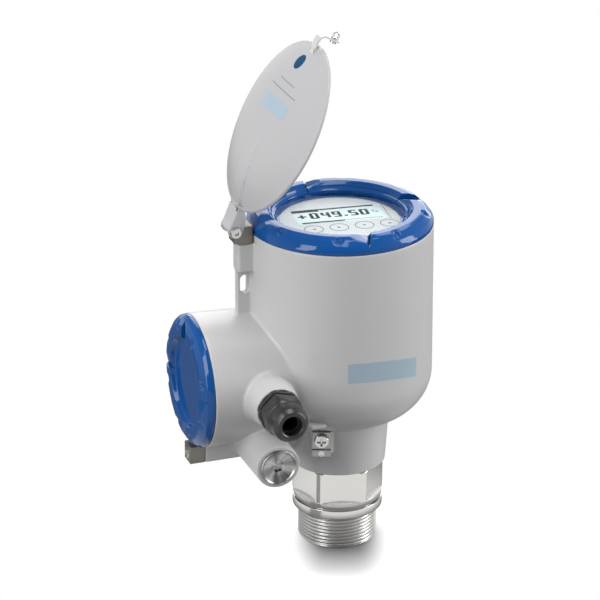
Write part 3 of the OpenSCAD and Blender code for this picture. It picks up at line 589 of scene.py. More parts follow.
def casting():
    """The skin, drawn onto the casting's surface, evened out and cut open at the rims."""
    bm = rough_skin()
    co = np.array([tuple(x.co) for x in bm.verts])
    co = settle(co, 6)
    edges = np.array([[e.verts[0].index, e.verts[1].index] for e in bm.edges])
    count = np.bincount(edges.ravel(), minlength=len(co))[:, None]
    for _ in range(3):
        near = np.zeros_like(co)
        np.add.at(near, edges[:, 0], co[edges[:, 1]])
        np.add.at(near, edges[:, 1], co[edges[:, 0]])
        co = settle(co * 0.5 + near / count * 0.5, 2)
    co = settle(co, 3)
    for x, c in zip(bm.verts, co):
        x.co = c

    def cut(point, normal, keep=None):
        """Removes what lies beyond a plane, near the chosen rim only."""
        faces = [g for g in bm.faces if keep is None or keep(g.calc_center_median())]
        geom = list({x for g in faces for x in g.verts}) + list({x for g in faces for x in g.edges}) + faces
        bmesh.ops.bisect_plane(bm, geom=geom, dist=1e-5, plane_co=point, plane_no=normal, clear_outer=True)

    cut((0, 0, RIM_Z - 3), (0, 0, 1))
    cut((-88.5, 0, 0), (-1, 0, 0))
    cut((0, -53.2, 0), (0, -1, 0), lambda c: c.x < -41 and c.y < -46)
    cut((0, 0, NECK_Z + 1), (0, 0, -1), lambda c: c.z < 36)
    bmesh.ops.triangulate(bm, faces=[g for g in bm.faces if len(g.verts) > 4])
    return bm


def housing():
    """The casting as a smooth-shaded piece, with the surface's own normals."""
    v, f = from_bmesh(casting(), WORLD)
    obj("housing_casting", [(v, f)], PAINT, "housing", ["housing"], normals=gradient(settle(v, 1)))


housing()


def rim_parts():
    """Rims, faces and bores that close the casting."""
    display = [(DRUM_R + 0.03, RIM_Z - 3, 0), (DRUM_R, RIM_Z, 0.5), (51.8, RIM_Z, 0.2),
               (51.8, RIM_Z + 3.6, 0.5), (48.4, RIM_Z + 3.6, 0.4), (48.4, RIM_Z - 8, 0.3),
               (50.8, RIM_Z - 8.3, 0.3), (50.8, 132, 0.3), (38, 131.8, 0.3), (38, 67.5, 0)]
    terminal = [(TDRUM_R - 0.05, -2.0, 0), (TDRUM_R, 0, 0.5), (36.6, 0, 0.2), (36.6, 2.4, 0.5),
                (33.0, 2.4, 0.5), (33.0, -44.5, 0.5), (0, -44.5, 0)]
    gland = [(13.48, -1.1, 0), (13.3, 0, 0.9), (10.0, 0, 0.5), (10.0, -14, 0)]
    plug = [(13.22, -1.1, 0), (13.2, 0, 0.9), (10.0, 0, 0.5), (10.0, -40, 0)]
    neck = [(NECK_R + 0.06, NECK_Z + 1), (NECK_R, NECK_Z + 0.75), (NECK_R - 0.3, NECK_Z + 0.5),
            (24.5, NECK_Z + 0.5), (24.5, NECK_Z + 6)]
    return [lathe(rounded(display), 240), lathe(rounded(terminal), 200, ON_TDRUM),
            lathe(rounded(gland), 96, ON_GLAND), lathe(rounded(plug), 96, ON_PLUG), lathe(neck, 160)]


obj("housing_rims", rim_parts(), PAINT, "housing")

# cast lug over the earth terminal
obj("cast_lug", [box((-34.2, -48.4, 74.6), (-25.2, -40.0, 76.8), 0.6)], PAINT, "housing")


# ---- screw covers with grip lugs ----
def smooth_min(a, b, k):
    """The lower of two values, blended over a width k."""
    h = np.maximum(k - np.abs(a - b), 0) / k
    return np.minimum(a, b) - h * h * k / 4


def cover(profile, wall_deg, top, floor, dimple_at, dimples, crown_in, twist_from, skew=0.52, lug=0.6):
    """Turned cover whose crown is cut by gaps, each with a steep wall on one side and a long ramp."""
    p = np.asarray(profile, float)
    even = around(560)
    fine = [np.radians(w + np.linspace(-1.4, 1.4, 40)) % TAU for w in wall_deg]
    q = np.sort(np.concatenate([even] + fine))
    q = q[np.concatenate([[True], np.diff(q) > 1e-4])]
    deg = np.degrees(q)
    # height of the crown at every angle. Each wall is steep, and its ramp runs back from it over a low step
    ramp_start, ramp_deg, wall_half, step_share, step_rise = 0.7, 13.8, 0.35, 0.34, 1.6
    uncut, open_top = top + 3.0, 1e3
    level = np.full(len(q), uncut)
    step = floor + step_share * (top - floor)
    for w in wall_deg:
        a = (deg - w + 180) % 360 - 180
        back = -a - ramp_start
        slope = np.where(back >= 0, floor + back / ramp_deg * (top - floor), floor)
        stepped = np.minimum(step + back / ramp_deg * (top - step), floor + back * step_rise)
        climb = floor + (a + wall_half) / (2 * wall_half) * (top - floor + 1.5)
        wall = np.where(a > -wall_half, climb, open_top)
        mine = np.where(a <= 0, np.minimum(np.maximum(slope, stepped), uncut), open_top)
        mine = np.where((a > -wall_half) & (a < 3), np.maximum(floor, np.minimum(wall, uncut)), mine)
        mine = np.where((a > 3) | (a < -20), uncut, mine)
        level = np.minimum(level, mine)
    r = np.repeat(p[None, :, 0], len(q), 0)
    z = np.repeat(p[None, :, 1], len(q), 0)
    lowered = smooth_min(z, np.repeat(level[:, None], len(p), 1), 0.35)
    z = np.where((z > floor - 1.5) & (r > crown_in), np.minimum(lowered, z), z)
    twist = -np.radians(skew) * np.clip(r - twist_from, 0, 11)
    angle = q[:, None] + twist
    # each lug swells a little behind its wall
    for w in wall_deg:
        a = (deg[:, None] - w + 180) % 360 - 180
        swell = lug * np.exp(-((a - 10.5) / 7.0) ** 6) * np.exp(-((r - dimple_at[0]) / 3.0) ** 4)
        swell = np.where(a > 0.3, swell * np.clip((a - 0.3) / 1.5, 0, 1), 0)
        r, z = r + swell * 0.5, z + swell * 0.34
    pts = np.stack([r * np.cos(angle), r * np.sin(angle), z], -1)
    # round finger dimples
    for w in [math.radians(w + d) for w in wall_deg for d in dimples]:
        centre = np.array([dimple_at[0] * math.cos(w), dimple_at[0] * math.sin(w), dimple_at[1]])
        dip = np.clip(1.15 - np.linalg.norm(pts - centre, axis=-1) / 2.9, 0, 1)
        dip = dip * dip * (3 - 2 * dip) * 1.7
        pts = pts - dip[..., None] * np.array([0.45 * math.cos(w), 0.45 * math.sin(w), 0.9])
    return grid(pts, wrap_u=True)


def dense(profile, gap):
    """Adds points so that no step of the profile is longer than gap."""
    out = [profile[0]]
    for a, b in zip(profile[:-1], profile[1:]):
        a, run = np.array(a), np.array(b) - np.array(a)
        n = max(1, int(math.ceil(np.hypot(*run) / gap)))
        out += [tuple(a + run * k / n) for k in range(1, n + 1)]
    return np.array(out)


def display_cover():
    """The blue ring over the display: its lugged crown and its inside."""
    outside = rounded([(52.4, 184.1, 0), (55.3, 184.1, 0.35), (55.3, 186.5, 2.2), (53.5, 189.0, 3.0),
                       (50.4, 192.0, 2.4), (47.0, 193.15, 2.4), (43.2, 193.1, 1.0), (41.5, 191.5, 0.35),
                       (41.0, 191.2, 0.3), (40.2, 189.9, 0.35), (39.3, 189.5, 0.35), (38.2, 188.8, 0.4),
                       (37.9, 188.2, 0.2), (41.5, 188.15, 0.1), (41.6, 184.8, 0)])
    crown = cover(dense(outside, 0.75), (99.8, 190.6, 274.2, 10.6), 193.1, 188.3, (50.4, 192.2), (15.5, 58),
                  38.05, 42.3)
    inside = lathe([(52.4, 184.1), (51.95, 184.3), (51.95, 187.8), (45.5, 187.8), (45.5, 182.7),
                    (43.9, 182.7), (43.9, 184.6), (41.6, 184.8)], 200)
    obj("display_cover_skin", [crown, inside], BLUE, "display_cover", ["display_cover"], sharp=40)


def terminal_cover():
    """The blue cover on the side drum, closed by a flat disc."""
    outside = rounded([(37.2, 0.1, 0), (40.0, 0.1, 0.35), (40.0, 2.2, 1.8), (38.4, 4.6, 2.4),
                       (34.6, 7.2, 2.2), (32.0, 7.4, 1.8), (27.5, 7.4, 1.2), (25.9, 4.4, 0.7),
                       (24.8, 4.0, 0.5), (12, 4.0, 0), (0, 4.0, 0)])
    v, f = cover(dense(outside, 0.75), (96.5, 186.5, 276.5, 6.5), 7.4, 4.0, (34.2, 6.9), (13, 58), 26.3, 27.8,
                 skew=0.2, lug=0.0)
    inside = lathe([(37.2, 0.1), (36.75, 0.3), (36.75, 2.7), (32.0, 2.7), (32.0, 1.4), (0, 1.4)], 160,
                   ON_TDRUM)
    obj("terminal_cover_skin", [(put(v, ON_TDRUM), f), inside], BLUE, "terminal_cover", ["terminal_cover"],
        sharp=40)


display_cover()
terminal_cover()

# dark border printed under the glass
obj("window_border", [lathe([(37.95, 188.3), (38.3, 185.5), (35.6, 185.46)], 160)], BLUE, "display_cover")


# ---- display ----
bezel = rounded([(38.2, -7, 0), (38.2, 0, 0.5), (20, 0, 0), (0, 0, 0)])
obj("bezel_disc", [lathe(bezel, 128, ON_DISPLAY)], BEZEL, "housing", ["display_bezel"], sharp=30)
LCD_X, LCD_Y, LCD_TOP = 1.3, 7.4, 0.10


def on_lcd(x0, y0, x1, y1):
    """A flat mark on the screen, from its centre."""
    return box((LCD_X + x0, LCD_Y + y0, LCD_TOP), (LCD_X + x1, LCD_Y + y1, LCD_TOP + 0.06), 0, ON_DISPLAY)


screen = box((LCD_X - 27, LCD_Y - 11.25, -1), (LCD_X + 27, LCD_Y + 11.25, LCD_TOP), 0.1, ON_DISPLAY)
obj("screen", [screen], LCD, "housing", ["lcd_panel"])

SEGMENTS = {"0": "abcdef", "4": "bcfg", "9": "abcdfg", "5": "acdfg"}


def digit(ch, cx, cy):
    """A seven-segment digit."""
    hw, hh, t = 2.7, 4.3, 1.9
    split = -0.3 if ch == "0" else 0.2
    bars = {"a": (-hw + 0.5, hh - 1.25, hw - 0.5, hh), "d": (-hw + 0.5, -hh, hw - 0.5, -hh + 1.25),
            "g": (-hw + 0.5, -0.6, hw - 0.5, 0.65), "f": (-hw, split, -hw + t, hh - 0.5),
            "b": (hw - t, split, hw, hh - 0.5), "e": (-hw, -hh + 0.5, -hw + t, -0.2),
            "c": (hw - t, -hh + 0.5, hw, -0.2)}
    return [on_lcd(cx + x0, cy + y0, cx + x1, cy + y1) for x0, y0, x1, y1 in (bars[s] for s in SEGMENTS[ch])]


def screen_marks():
    """Plain digits with their point, a plus sign, a stepped title bar, a level bar and three dots."""
    marks = []
    for ch, cx in (("0", -11.2), ("4", -4.3), ("9", 2.4), ("5", 12.6), ("0", 19.2)):
        marks += digit(ch, cx - 3.6, 0.9)
    rest = ((3.0, -3.1, 5.0, -1.3), (-24.9, -0.1, -19.7, 1.4), (-23.1, -1.9, -21.4, 3.4),
            (-26.8, 7.3, -10.5, 11.0), (-10.5, 9.2, 23.4, 11.0), (-24.5, -10.3, 1.2, -8.6),
            (1.2, -9.1, 24.5, -8.8), (20.4, 1.6, 22.0, 2.6), (22.4, -0.6, 24.0, 0.4), (20.6, -0.2, 22.0, 0.2))
    return marks + [on_lcd(*mark) for mark in rest]


obj("screen_marks", screen_marks(), LCD_INK, "housing")
obj("screen_line", [box((29.9, -5.2, 0.0), (30.2, 18.8, 0.05), 0, ON_DISPLAY)], INK, "housing")

ARROWS = ([(-1.0, 0), (0.9, 1.2), (0.9, -1.2)], [(1.0, 0), (-0.9, 1.2), (-0.9, -1.2)],
          [(0, -1.0), (1.2, 0.8), (-1.2, 0.8)], [(0, 1.0), (-1.2, -0.8), (1.2, -0.8)])
for i, arrow in enumerate(ARROWS):
    key = f"key_{i + 1}"
    on_key = ON_DISPLAY @ moved(4.2 + (i - 1.5) * 15.3, -12.1, 0)
    cap = rounded([(5.35, -2.6, 0), (5.35, 0.02, 0.25), (0, 0.05, 0)])
    obj(f"key_{i + 1}_cap", [lathe(cap, 64, on_key)], KEY, key, [key])
    ring = lathe([(5.3, 0.03), (5.75, 0.03), (5.75, 0.07), (5.3, 0.07)], 64, on_key, closed=True)
    obj(f"key_ring_{i + 1}", [ring], INK, "housing")
    obj(f"key_arrow_{i + 1}", [prism(arrow, 0.05, 0.10, 0, on_key)], INK, key)


# ---- cable gland ----
def hex_ring(af, stations):
    """Hexagonal ring of (z, cap radius) stations, whose corners are turned down to the cap radius."""
    q = around(240)
    return through_rings(q, [(np.minimum(hex_radius(q, af, 45), cap), z) for z, cap in stations], ON_GLAND)


def gland():
    """Body with its hexagon, cap nut with its dome, and the rubber insert."""
    body = [hex_ring(24, [(0.0, 12.4), (0.35, 13.2), (3.2, 13.2), (3.6, 12.5), (3.6, 9.0)]),
            lathe([(12.4, 0.0), (10.2, 0.0)], 96, ON_GLAND),
            lathe([(9.0, 3.6), (9.0, 15.6), (7.2, 15.6), (7.2, -10)], 96, ON_GLAND)]
    obj("gland_body_skin", body, GLAND, "housing", ["gland_body"], sharp=30)
    nut_z = 4.2
    nut = hex_ring(23, [(nut_z, 9.1), (nut_z, 12.2), (nut_z + 0.6, 13.3), (nut_z + 2.0, 13.4),
                        (nut_z + 7.2, 12.7), (nut_z + 8.6, 12.0), (nut_z + 9.4, 11.5)])
    dome = rounded([(11.5, nut_z + 9.4, 0), (11.15, nut_z + 9.9, 0.5), (11.1, nut_z + 14.5, 2),
                    (10.7, nut_z + 17.6, 3), (8.6, nut_z + 20.9, 3.0), (6.9, nut_z + 20.9, 0.7),
                    (6.0, nut_z + 20.1, 0.6), (6.0, nut_z + 15.8, 0.2), (9.05, nut_z + 15.6, 0.2),
                    (9.05, nut_z, 0)])
    obj("gland_nut_skin", [nut, lathe(dome, 160, ON_GLAND)], GLAND, "gland_nut", ["gland_nut"], sharp=30)
    insert = rounded([(6.9, 6.6, 0), (6.9, 19.6, 0.5), (4.9, 19.6, 0.6), (4.9, 6.6, 0)])
    obj("gland_insert_skin", [lathe(insert, 96, ON_GLAND)], RUBBER, "gland_insert", ["gland_insert"])


gland()


# ---- blanking plug ----
def blanking_plug():
    """Round plug with a hexagon socket in a shallow dish."""
    q = around(144)
    key = hex_radius(q, 7.0, 10)
    depths = ((1.06, -1.25), (1.0, -1.45), (1.0, -2.6), (0.94, -2.8), (0.0, -2.8))
    socket = [(6.2, -1.0)] + [(key * k, z) for k, z in depths]
    rim = rounded([(9.9, -10, 0), (9.9, 0.0, 0.1), (11.0, 0.0, 0.2), (11.0, 1.6, 0.5), (10.2, 1.6, 0.3),
                   (9.5, 0.8, 0.5), (6.2, -1.0, 0)])
    # the plug's base colour is painted reflection: bright and dark rays out from its axis
    paint_streak_reflection(PLUG_STEEL, ON_PLUG, 0.13, 0.46, 1.1)
    parts = [lathe(rim, 144, ON_PLUG), through_rings(q, socket, ON_PLUG)]
    obj("plug_skin", parts, PLUG_STEEL, "blanking_plug", ["blanking_plug"])


blanking_plug()


# ---- earth terminal ----
clamp = [box((-5.75, -34.9, -11.0), (5.75, -32.9, 5.3), 0.45, AT_EARTH),
         box((-5.75, -35.7, -11.0), (5.75, -34.0, -6.0), 0.5, AT_EARTH)]
obj("clamp_skin", clamp, PLATE_STEEL, "earth_clamp", ["earth_clamp"], sharp=40)
punch_mark = rounded([(1.9, 35.6, 0), (1.9, 35.95, 0.1), (1.3, 35.95, 0.1), (1.1, 35.72, 0.1), (0, 35.72, 0)])
obj("clamp_mark", [lathe(punch_mark, 48, AT_EARTH @ facing(0, 0, -8.5))], SCREW_STEEL, "earth_clamp")


def cross_head(r, z_top, slot_w, slot_l, depth):
    """Pan head, drawn along +Z, with a cross recess pressed into its top."""
    flat = r * 0.82
    rad = np.concatenate([np.linspace(0, flat, 34), r - (r * 0.18) * (1 - np.linspace(0, 1, 9)[1:])])
    rr, qq = np.meshgrid(rad, around(96), indexing="xy")
    x, y = rr * np.cos(qq), rr * np.sin(qq)
    edge = np.clip((rr - flat) / (r * 0.18), 0, 1)
    z = z_top - 0.7 * (1 - np.sqrt(np.maximum(1 - edge ** 2, 0))) - 0.35 * (rr / r) ** 2
    arm = np.minimum(np.maximum(np.abs(x) - slot_w / 2, np.abs(y) - slot_l / 2),
                     np.maximum(np.abs(y) - slot_w / 2, np.abs(x) - slot_l / 2))
    z = z - depth * np.clip(-arm / 0.22 + 0.2, 0, 1)
    return grid(np.stack([x, y, z], -1), wrap_u=True)


def pan_screw(at, r, low, high, shank_r, shank_low):
    """Screw with a pan head from low to high and a plain shank down to shank_low."""
    v, f = cross_head(r, high, 1.15, 5.2, 1.7)
    side = rounded([(r, high - 1.05, 0), (r, low, 0.15), (shank_r, low, 0), (shank_r, shank_low, 0)])
    return [(put(v, at), f), lathe(side, 96, at)]


obj("earth_screw_skin", pan_screw(AT_EARTH @ facing(0, 0, 0), 4.4, 35.0, 38.2, 2.45, 25.0), SCREW_STEEL,
    "earth_screw", ["earth_screw"])

# ---- cover stops and hinge ----
knuckle = rounded([(1.65, 5.5, 0), (3.0, 5.5, 0.35), (3.0, -5.5, 0.35), (1.65, -5.5, 0)])
bracket = [box((-64.8, -5.5, 179.02), (-56.0, 5.5, 190.4), 0.55),
           box((HINGE_X, -5.5, 180.0), (-63.8, 5.5, 189.5), 0.5),
           lathe(knuckle, 64, facing(HINGE_X, 0, HINGE_Z))]
obj("bracket_skin", bracket, STOP_STEEL, "housing", ["hinge_bracket"])


def socket_head(at, r, z0, z1, key_r):
    """Round head with a rounded edge and a hexagon socket, drawn along +Z."""
    q = around(96)
    key = hex_radius(q, 2 * key_r * math.cos(math.pi / 6), 0)
    rings = [(r, z0), (r, z1 - 0.5), (r - 0.15, z1 - 0.15), (r - 0.5, z1), (key_r + 0.35, z1)]
    rings += [(k * key, z) for k, z in ((1.06, z1 - 0.02), (1.0, z1 - 0.2), (1.0, z1 - 1.5), (0.0, z1 - 1.9))]
    return through_rings(q, rings, at)


ON_STOP = moved(-60.0, 0, 0)
obj("display_stop_screw_skin", [socket_head(ON_STOP, 3.3, 187.0, 190.0, 1.7)], SCREW_STEEL, "housing",
    ["display_stop_screw"])
stop_recess = rounded([(3.62, 190.42, 0), (3.55, 190.46, 0.03), (3.4, 190.42, 0)])
obj("stop_recess", [lathe(stop_recess, 64, ON_STOP)], STOP_STEEL, "housing")

obj("terminal_stop_skin", [box((-96.0, -5.5, 42.3), (-86.42, 5.5, 53.5), 0.55)], STOP_STEEL, "housing",
    ["terminal_stop"])
ON_TERMINAL_STOP = axes((0, 0, 47.7), (0, 0, 1), (0, 1, 0), (-1, 0, 0))
obj("terminal_stop_screw_skin", [socket_head(ON_TERMINAL_STOP, 3.3, 93.2, 96.6, 1.7)], SCREW_STEEL, "housing",
    ["terminal_stop_screw"])

HINGE_HEAD = facing(HINGE_X, -7.5, HINGE_Z)
far_head = rounded([(3.3, -14.6, 0), (3.3, -15.9, 0), (3.3, -17.1, 0.5), (0, -17.1, 0)])
hinge_screw = [socket_head(HINGE_HEAD, 3.3, 0.1, 2.1, 1.5), lathe(far_head, 64, HINGE_HEAD),
               lathe([(1.6, 0), (1.6, -15)], 48, HINGE_HEAD)]
obj("hinge_screw_skin", hinge_screw, SCREW_STEEL, "housing", ["hinge_screw"])


# ---- sun lid ----
HEEL, ARM_HALF, FILLET = -2.2, 7.2, 2.0


def half_width(x, inset=0.9):
    """Half width of the lid at x: the disc, the arm and a fillet between them."""
    disc = math.sqrt(max((LID_R - inset) ** 2 - (x - LID_X) ** 2, 0))
    cx = LID_X - math.sqrt((LID_R + FILLET) ** 2 - (ARM_HALF + FILLET) ** 2)
    cy = ARM_HALF + FILLET
    touch = cx + (LID_X - cx) * FILLET / (LID_R + FILLET)
    if x <= cx:
        return ARM_HALF - inset
    if x < touch:
        return cy - math.sqrt(max(FILLET ** 2 - (x - cx) ** 2, 0)) - inset
    return disc


def lid_height(x, y):
    """Height of the lid's top: a dome, with the arm's top running up it as a narrowing wedge."""
    roundness, wedge_from, wedge_high, arm_high, arm_rise = 3.4, 13, 1.3, 4.19, 0.107
    flank, crease_deep = 0.4, 0.8
    r = np.hypot(x - LID_X, y)
    dome = LID_PLANE + LID_DOME * (1 - (np.minimum(r, LID_R) / LID_R) ** roundness)
    run = np.clip((x - wedge_from) / (LID_X - 15), 0, 1)
    wide = (ARM_HALF + 0.1) * (1 - 0.1 * run) + 0.15
    plane = np.where(x < 30, arm_high + arm_rise * (x - HEEL) - dome, 0)
    above = np.maximum(plane, wedge_high * (1 - run) ** 1.1)
    side = np.clip((wide - np.abs(y)) / flank + 0.5, 0, 1)
    crease = crease_deep * (1 - run) * np.exp(-((np.abs(y) - wide - 0.3) / 0.3) ** 2) * (run > 0)
    return dome + above * side * side * (3 - 2 * side) - crease


def lid_skin():
    """The lid's top, its rounded edge with a skirt, and its underside."""
    edge, thick, skirt_low = 1.8, 1.4, 2.89
    end = LID_X + LID_R - edge
    xs = list(np.arange(HEEL + edge, end - 1.0, 0.8)) + [end - k for k in (0.7, 0.4, 0.2, 0.08, 0.02)]
    us = np.linspace(-1, 1, 171)
    us = np.sign(us) * np.abs(us) ** 1.5
    top = np.empty((len(xs), len(us), 3))
    for i, x in enumerate(xs):
        y = us * half_width(x, edge)
        top[i, :, 0], top[i, :, 1] = x, y
        top[i, :, 2] = lid_height(np.full(len(y), x), y)
    # outward directions along the rim
    ring = np.concatenate([top[0, :], top[1:, -1], top[-1, -2::-1], top[-2:0:-1, 0]])
    along = np.roll(ring, -1, 0) - np.roll(ring, 1, 0)
    n = np.stack([-along[:, 1], along[:, 0], np.zeros(len(along))], -1)
    n /= np.maximum(np.linalg.norm(n, axis=1, keepdims=True), 1e-9)
    n *= np.sign(((ring - (LID_X, 0, 0)) * n).sum(1))[:, None]
    loops = [ring]
    for a in np.radians((22, 45, 68, 90)):
        loops.append(ring + n * (edge * math.sin(a)) - np.array([0, 0, 1]) * edge * (1 - math.cos(a)))
    skirt = loops[-1].copy()
    skirt[:, 2] = np.minimum(skirt[:, 2] - 0.2, skirt_low)
    inner = skirt - n * thick
    inner_top = inner.copy()
    inner_top[:, 2] = ring[:, 2] - thick
    loops += [skirt, inner, inner_top]
    under = top - (0, 0, thick)
    faces = [(put(v, ON_LID), f) for v, f in (grid(top), grid(under))]
    return [faces[0], loft(loops, ON_LID), faces[1]]


obj("lid_skin", lid_skin(), LID_PAINT, "lid", ["sun_lid"], sharp=50, weld=2e-5)

EAR = [(-2.2, 3.9), (-3.9, 1.6), (-4.2, 0.0), (-3.9, -1.6), (-3.0, -3.0), (-1.6, -3.9), (0.0, -4.2),
       (1.8, -4.2), (3.8, -4.0), (9.0, -2.5), (12.0, -0.8), (14.6, 1.9), (18.0, 3.1), (18.0, 5.2), (8.0, 4.5)]
ears = [prism(EAR, low, high, 0.25, ON_LID @ facing(0, 0, 0)) for low, high in ((6.0, 7.16), (-7.16, -6.0))]
obj("lid_ears", ears, LID_PAINT, "lid", sharp=40)
GATE_Z = LID_PLANE + LID_DOME
gate = rounded([(0.9, GATE_Z - 0.1, 0), (0.9, GATE_Z + 0.14, 0.1), (0, GATE_Z + 0.16, 0)])
obj("lid_gate", [lathe(gate, 32, ON_LID @ moved(LID_X - 6, 0, -0.1))], LID_PAINT, "lid")


def on_dome(outline):
    """A thin print that follows the lid's top: the outline is filled as a fan of rings."""
    pts = np.array(outline, float)
    centre = pts.mean(0)
    rings = []
    for k in np.linspace(1, 0.02, 24):
        p = centre + (pts - centre) * k
        rings.append(np.stack([p[:, 0], p[:, 1], lid_height(p[:, 0], p[:, 1]) + 0.06], -1))
    return loft(rings, ON_LID)


def strip(x0, y0, x1, y1):
    """Outline of a rectangle, with many points on each side. Its x is counted from the lid's centre."""
    x0, x1 = LID_X + x0, LID_X + x1
    t = np.linspace(0, 1, 14)
    p = [(x0 + (x1 - x0) * k, y0) for k in t]
    p += [(x1, y0 + (y1 - y0) * k) for k in t[1:]]
    p += [(x1 + (x0 - x1) * k, y1) for k in t[1:]]
    p += [(x0, y1 + (y0 - y1) * k) for k in t[1:-1]]
    return p


obj("lid_dot", [on_dome(circle(4.7, LID_X + 39.5, 0.3))], PRINT_BLUE, "lid", weld=0)
obj("lid_patch", [on_dome(strip(6.5, -18.5, 15.5, 13.5))], PRINT_PALE, "lid", weld=0)
obj("lid_lines", [on_dome(strip(20.6, -21, 21.2, 16)), on_dome(strip(26.0, -13, 26.6, 9))], PRINT_GREY, "lid",
    weld=0)


# ---- clip and thumb screw ----
ON_CLIP = ON_LID @ moved(LID_X + LID_R - 3, -2.0, LID_PLANE)
SCREW_AXIS = ON_CLIP @ axes((8.6, 0, -6.6), (0, 1, 0), (0, 0, 1), (1, 0, 0))


def lid_clip():
    """A bent strip of sheet."""
    line = rounded([(-3.0, 2.3, 0), (-1.0, 2.2, 0.5), (1.2, 2.7, 0.8), (4.0, 3.1, 1.0), (7.6, 2.5, 1.0),
                    (9.2, 0.7, 1.6), (9.2, -9.2, 0)])
    along = np.gradient(line, axis=0)
    along /= np.linalg.norm(along, axis=1, keepdims=True)
    half = np.stack([-along[:, 1], along[:, 0]], -1) * 0.6
    outline = [tuple(p) for p in np.concatenate([line + half, (line - half)[::-1]])]
    return prism(outline, -3.0, 3.0, 0.18, ON_CLIP @ facing(0, 0, 0))


def thumb_ring():
    """The small ring that turns the lid's screw."""
    rows = []
    for a in around(40):
        row = []
        for b in around(16):
            r = 1.75 + 0.55 * math.cos(b)
            row.append((0.6 * math.sin(b), r * math.sin(a), 3.6 + r * math.cos(a)))
        rows.append(row)
    v, f = grid(np.array(rows), wrap_u=True, wrap_v=True)
    return put(v, SCREW_AXIS), f


obj("clip_skin", [lid_clip()], CLIP_STEEL, "lid", ["lid_clip"])
lid_screw = rounded([(0, -1.4, 0), (2.0, -1.4, 0.3), (2.0, -0.1, 0.3), (1.4, -0.1, 0), (1.4, 1.3, 0),
                     (2.3, 1.3, 0.15), (2.3, 2.3, 0.25), (0, 2.35, 0)])
obj("lid_screw_skin", [lathe(lid_screw, 48, SCREW_AXIS), thumb_ring()], SCREW_STEEL, "lid_screw",
    ["lid_screw"])


# ---- plain label field on the drum ----
def drum_field(a0, a1, top_left, top_right, high, bow):
    """A thin sheet on the drum between two angles, with a sloped and bowed top edge."""
    rows = []
    for t in np.linspace(0, 1, 60):
        a = math.radians(a0 + (a1 - a0) * t)
        z1 = top_left + (top_right - top_left) * t + bow * 4 * t * (1 - t)
        z = z1 - high * np.linspace(0, 1, 12)
        r = DRUM_LOW_R + (DRUM_R - DRUM_LOW_R) * (z - CORNER_Z) / (RIM_Z - CORNER_Z) + 0.06
        rows.append(np.stack([r * math.cos(a), r * math.sin(a), z], -1))
    return grid(np.array(rows))


obj("drum_patch", [drum_field(-105, -56, 116.4, 111.2, 12.3, 1.8)], PRINT_PALE, "housing", weld=0)


# ---- other frame nodes keep their CAD shapes ----
KEPT_NODES = ((RUBBER, "lens_seal neck_seal display_cover_seal terminal_cover_seal gland_seal_ring plug_seal "
                       "window_gasket"),
              (PLATE_STEEL, "feed_horn neck_clip"),
              (MODULE, "radar_module electronics_module terminal_block"),
              (SCREW_STEEL, "terminal_screws inner_earth_screw hinge_washer window_ring"),
              (GLASS, "cover_window"))
for material, names in KEPT_NODES:
    for name in names.split():
        mesh = frame["nodes"][name].data
        mesh.materials.clear()
        mesh.materials.append(material)


# ---- floor, light and camera ----
FRONT = Vector((-0.354, -0.935, 0))
RIGHT = Vector((0.935, -0.354, 0))
# room light: its base level, then its sides, its back and its top
BASE, SIDE, SIDE_POWER, RIGHT_MORE = 0.21, 1.00, 3.0, 0.06
BACK, BACK_POWER, BACK_LOW, LOW_POWER, TOP, TOP_POWER = 1.05, 1.5, 2.2, 2.0, 0.20, 2.0
# far floor: its level as the camera, a mirror image and a soft surface see it
FLOOR_SEEN, FLOOR_GLOSS, FLOOR_DIFFUSE = 1.0, 0.95, 0.18
# near floor: it fades to the far floor between NEAR_IN and NEAR_OUT, counted from the part's axis. Then its
# glow, its least glow, its grey and how much duller it is in mirror images
NEAR_IN, NEAR_OUT, NEAR_GLOW, NEAR_BOUNCE, FLOOR_ALBEDO, NEAR_DULL = 0.050, 0.085, 0.78, 0.08, 0.45, 0.3
# contact shadow: its reach, its fall-off and lean, and its middle and half widths across the view
SHADE_REACH, SHADE_POWER = 0.044, 2.4
SHADE_LEAN = -0.85 * FRONT - 0.12 * RIGHT + Vector((0, 0, 0.50))
SHADE_MIDDLE, SHADE_OUT, SHADE_IN = 0.003, 0.040, 0.010
# what mirror images show of the floor: dark behind the part and in one wedge, as if flags stood there
DARK_BACK, BRIGHT_AGAIN, BRIGHT_FULL = 0.09, 0.6, 1.4
FLAG_HALF, FLAG_SOFT, FLAG_STRENGTH, FLAG_NEAR, FLAG_FAR = 11, 5, 0.8, 0.16, 0.22
FLAG_SIDE = Vector((math.cos(math.radians(202)), math.sin(math.radians(202)), 0))


def seen_white(nt):
    """1 for rays that come from the camera or through glass. Also gives the ray's path node."""
    path = node(nt, "LightPath")
    return maths(nt, "MAXIMUM", path.outputs["Is Camera Ray"], path.outputs["Is Transmission Ray"]), path


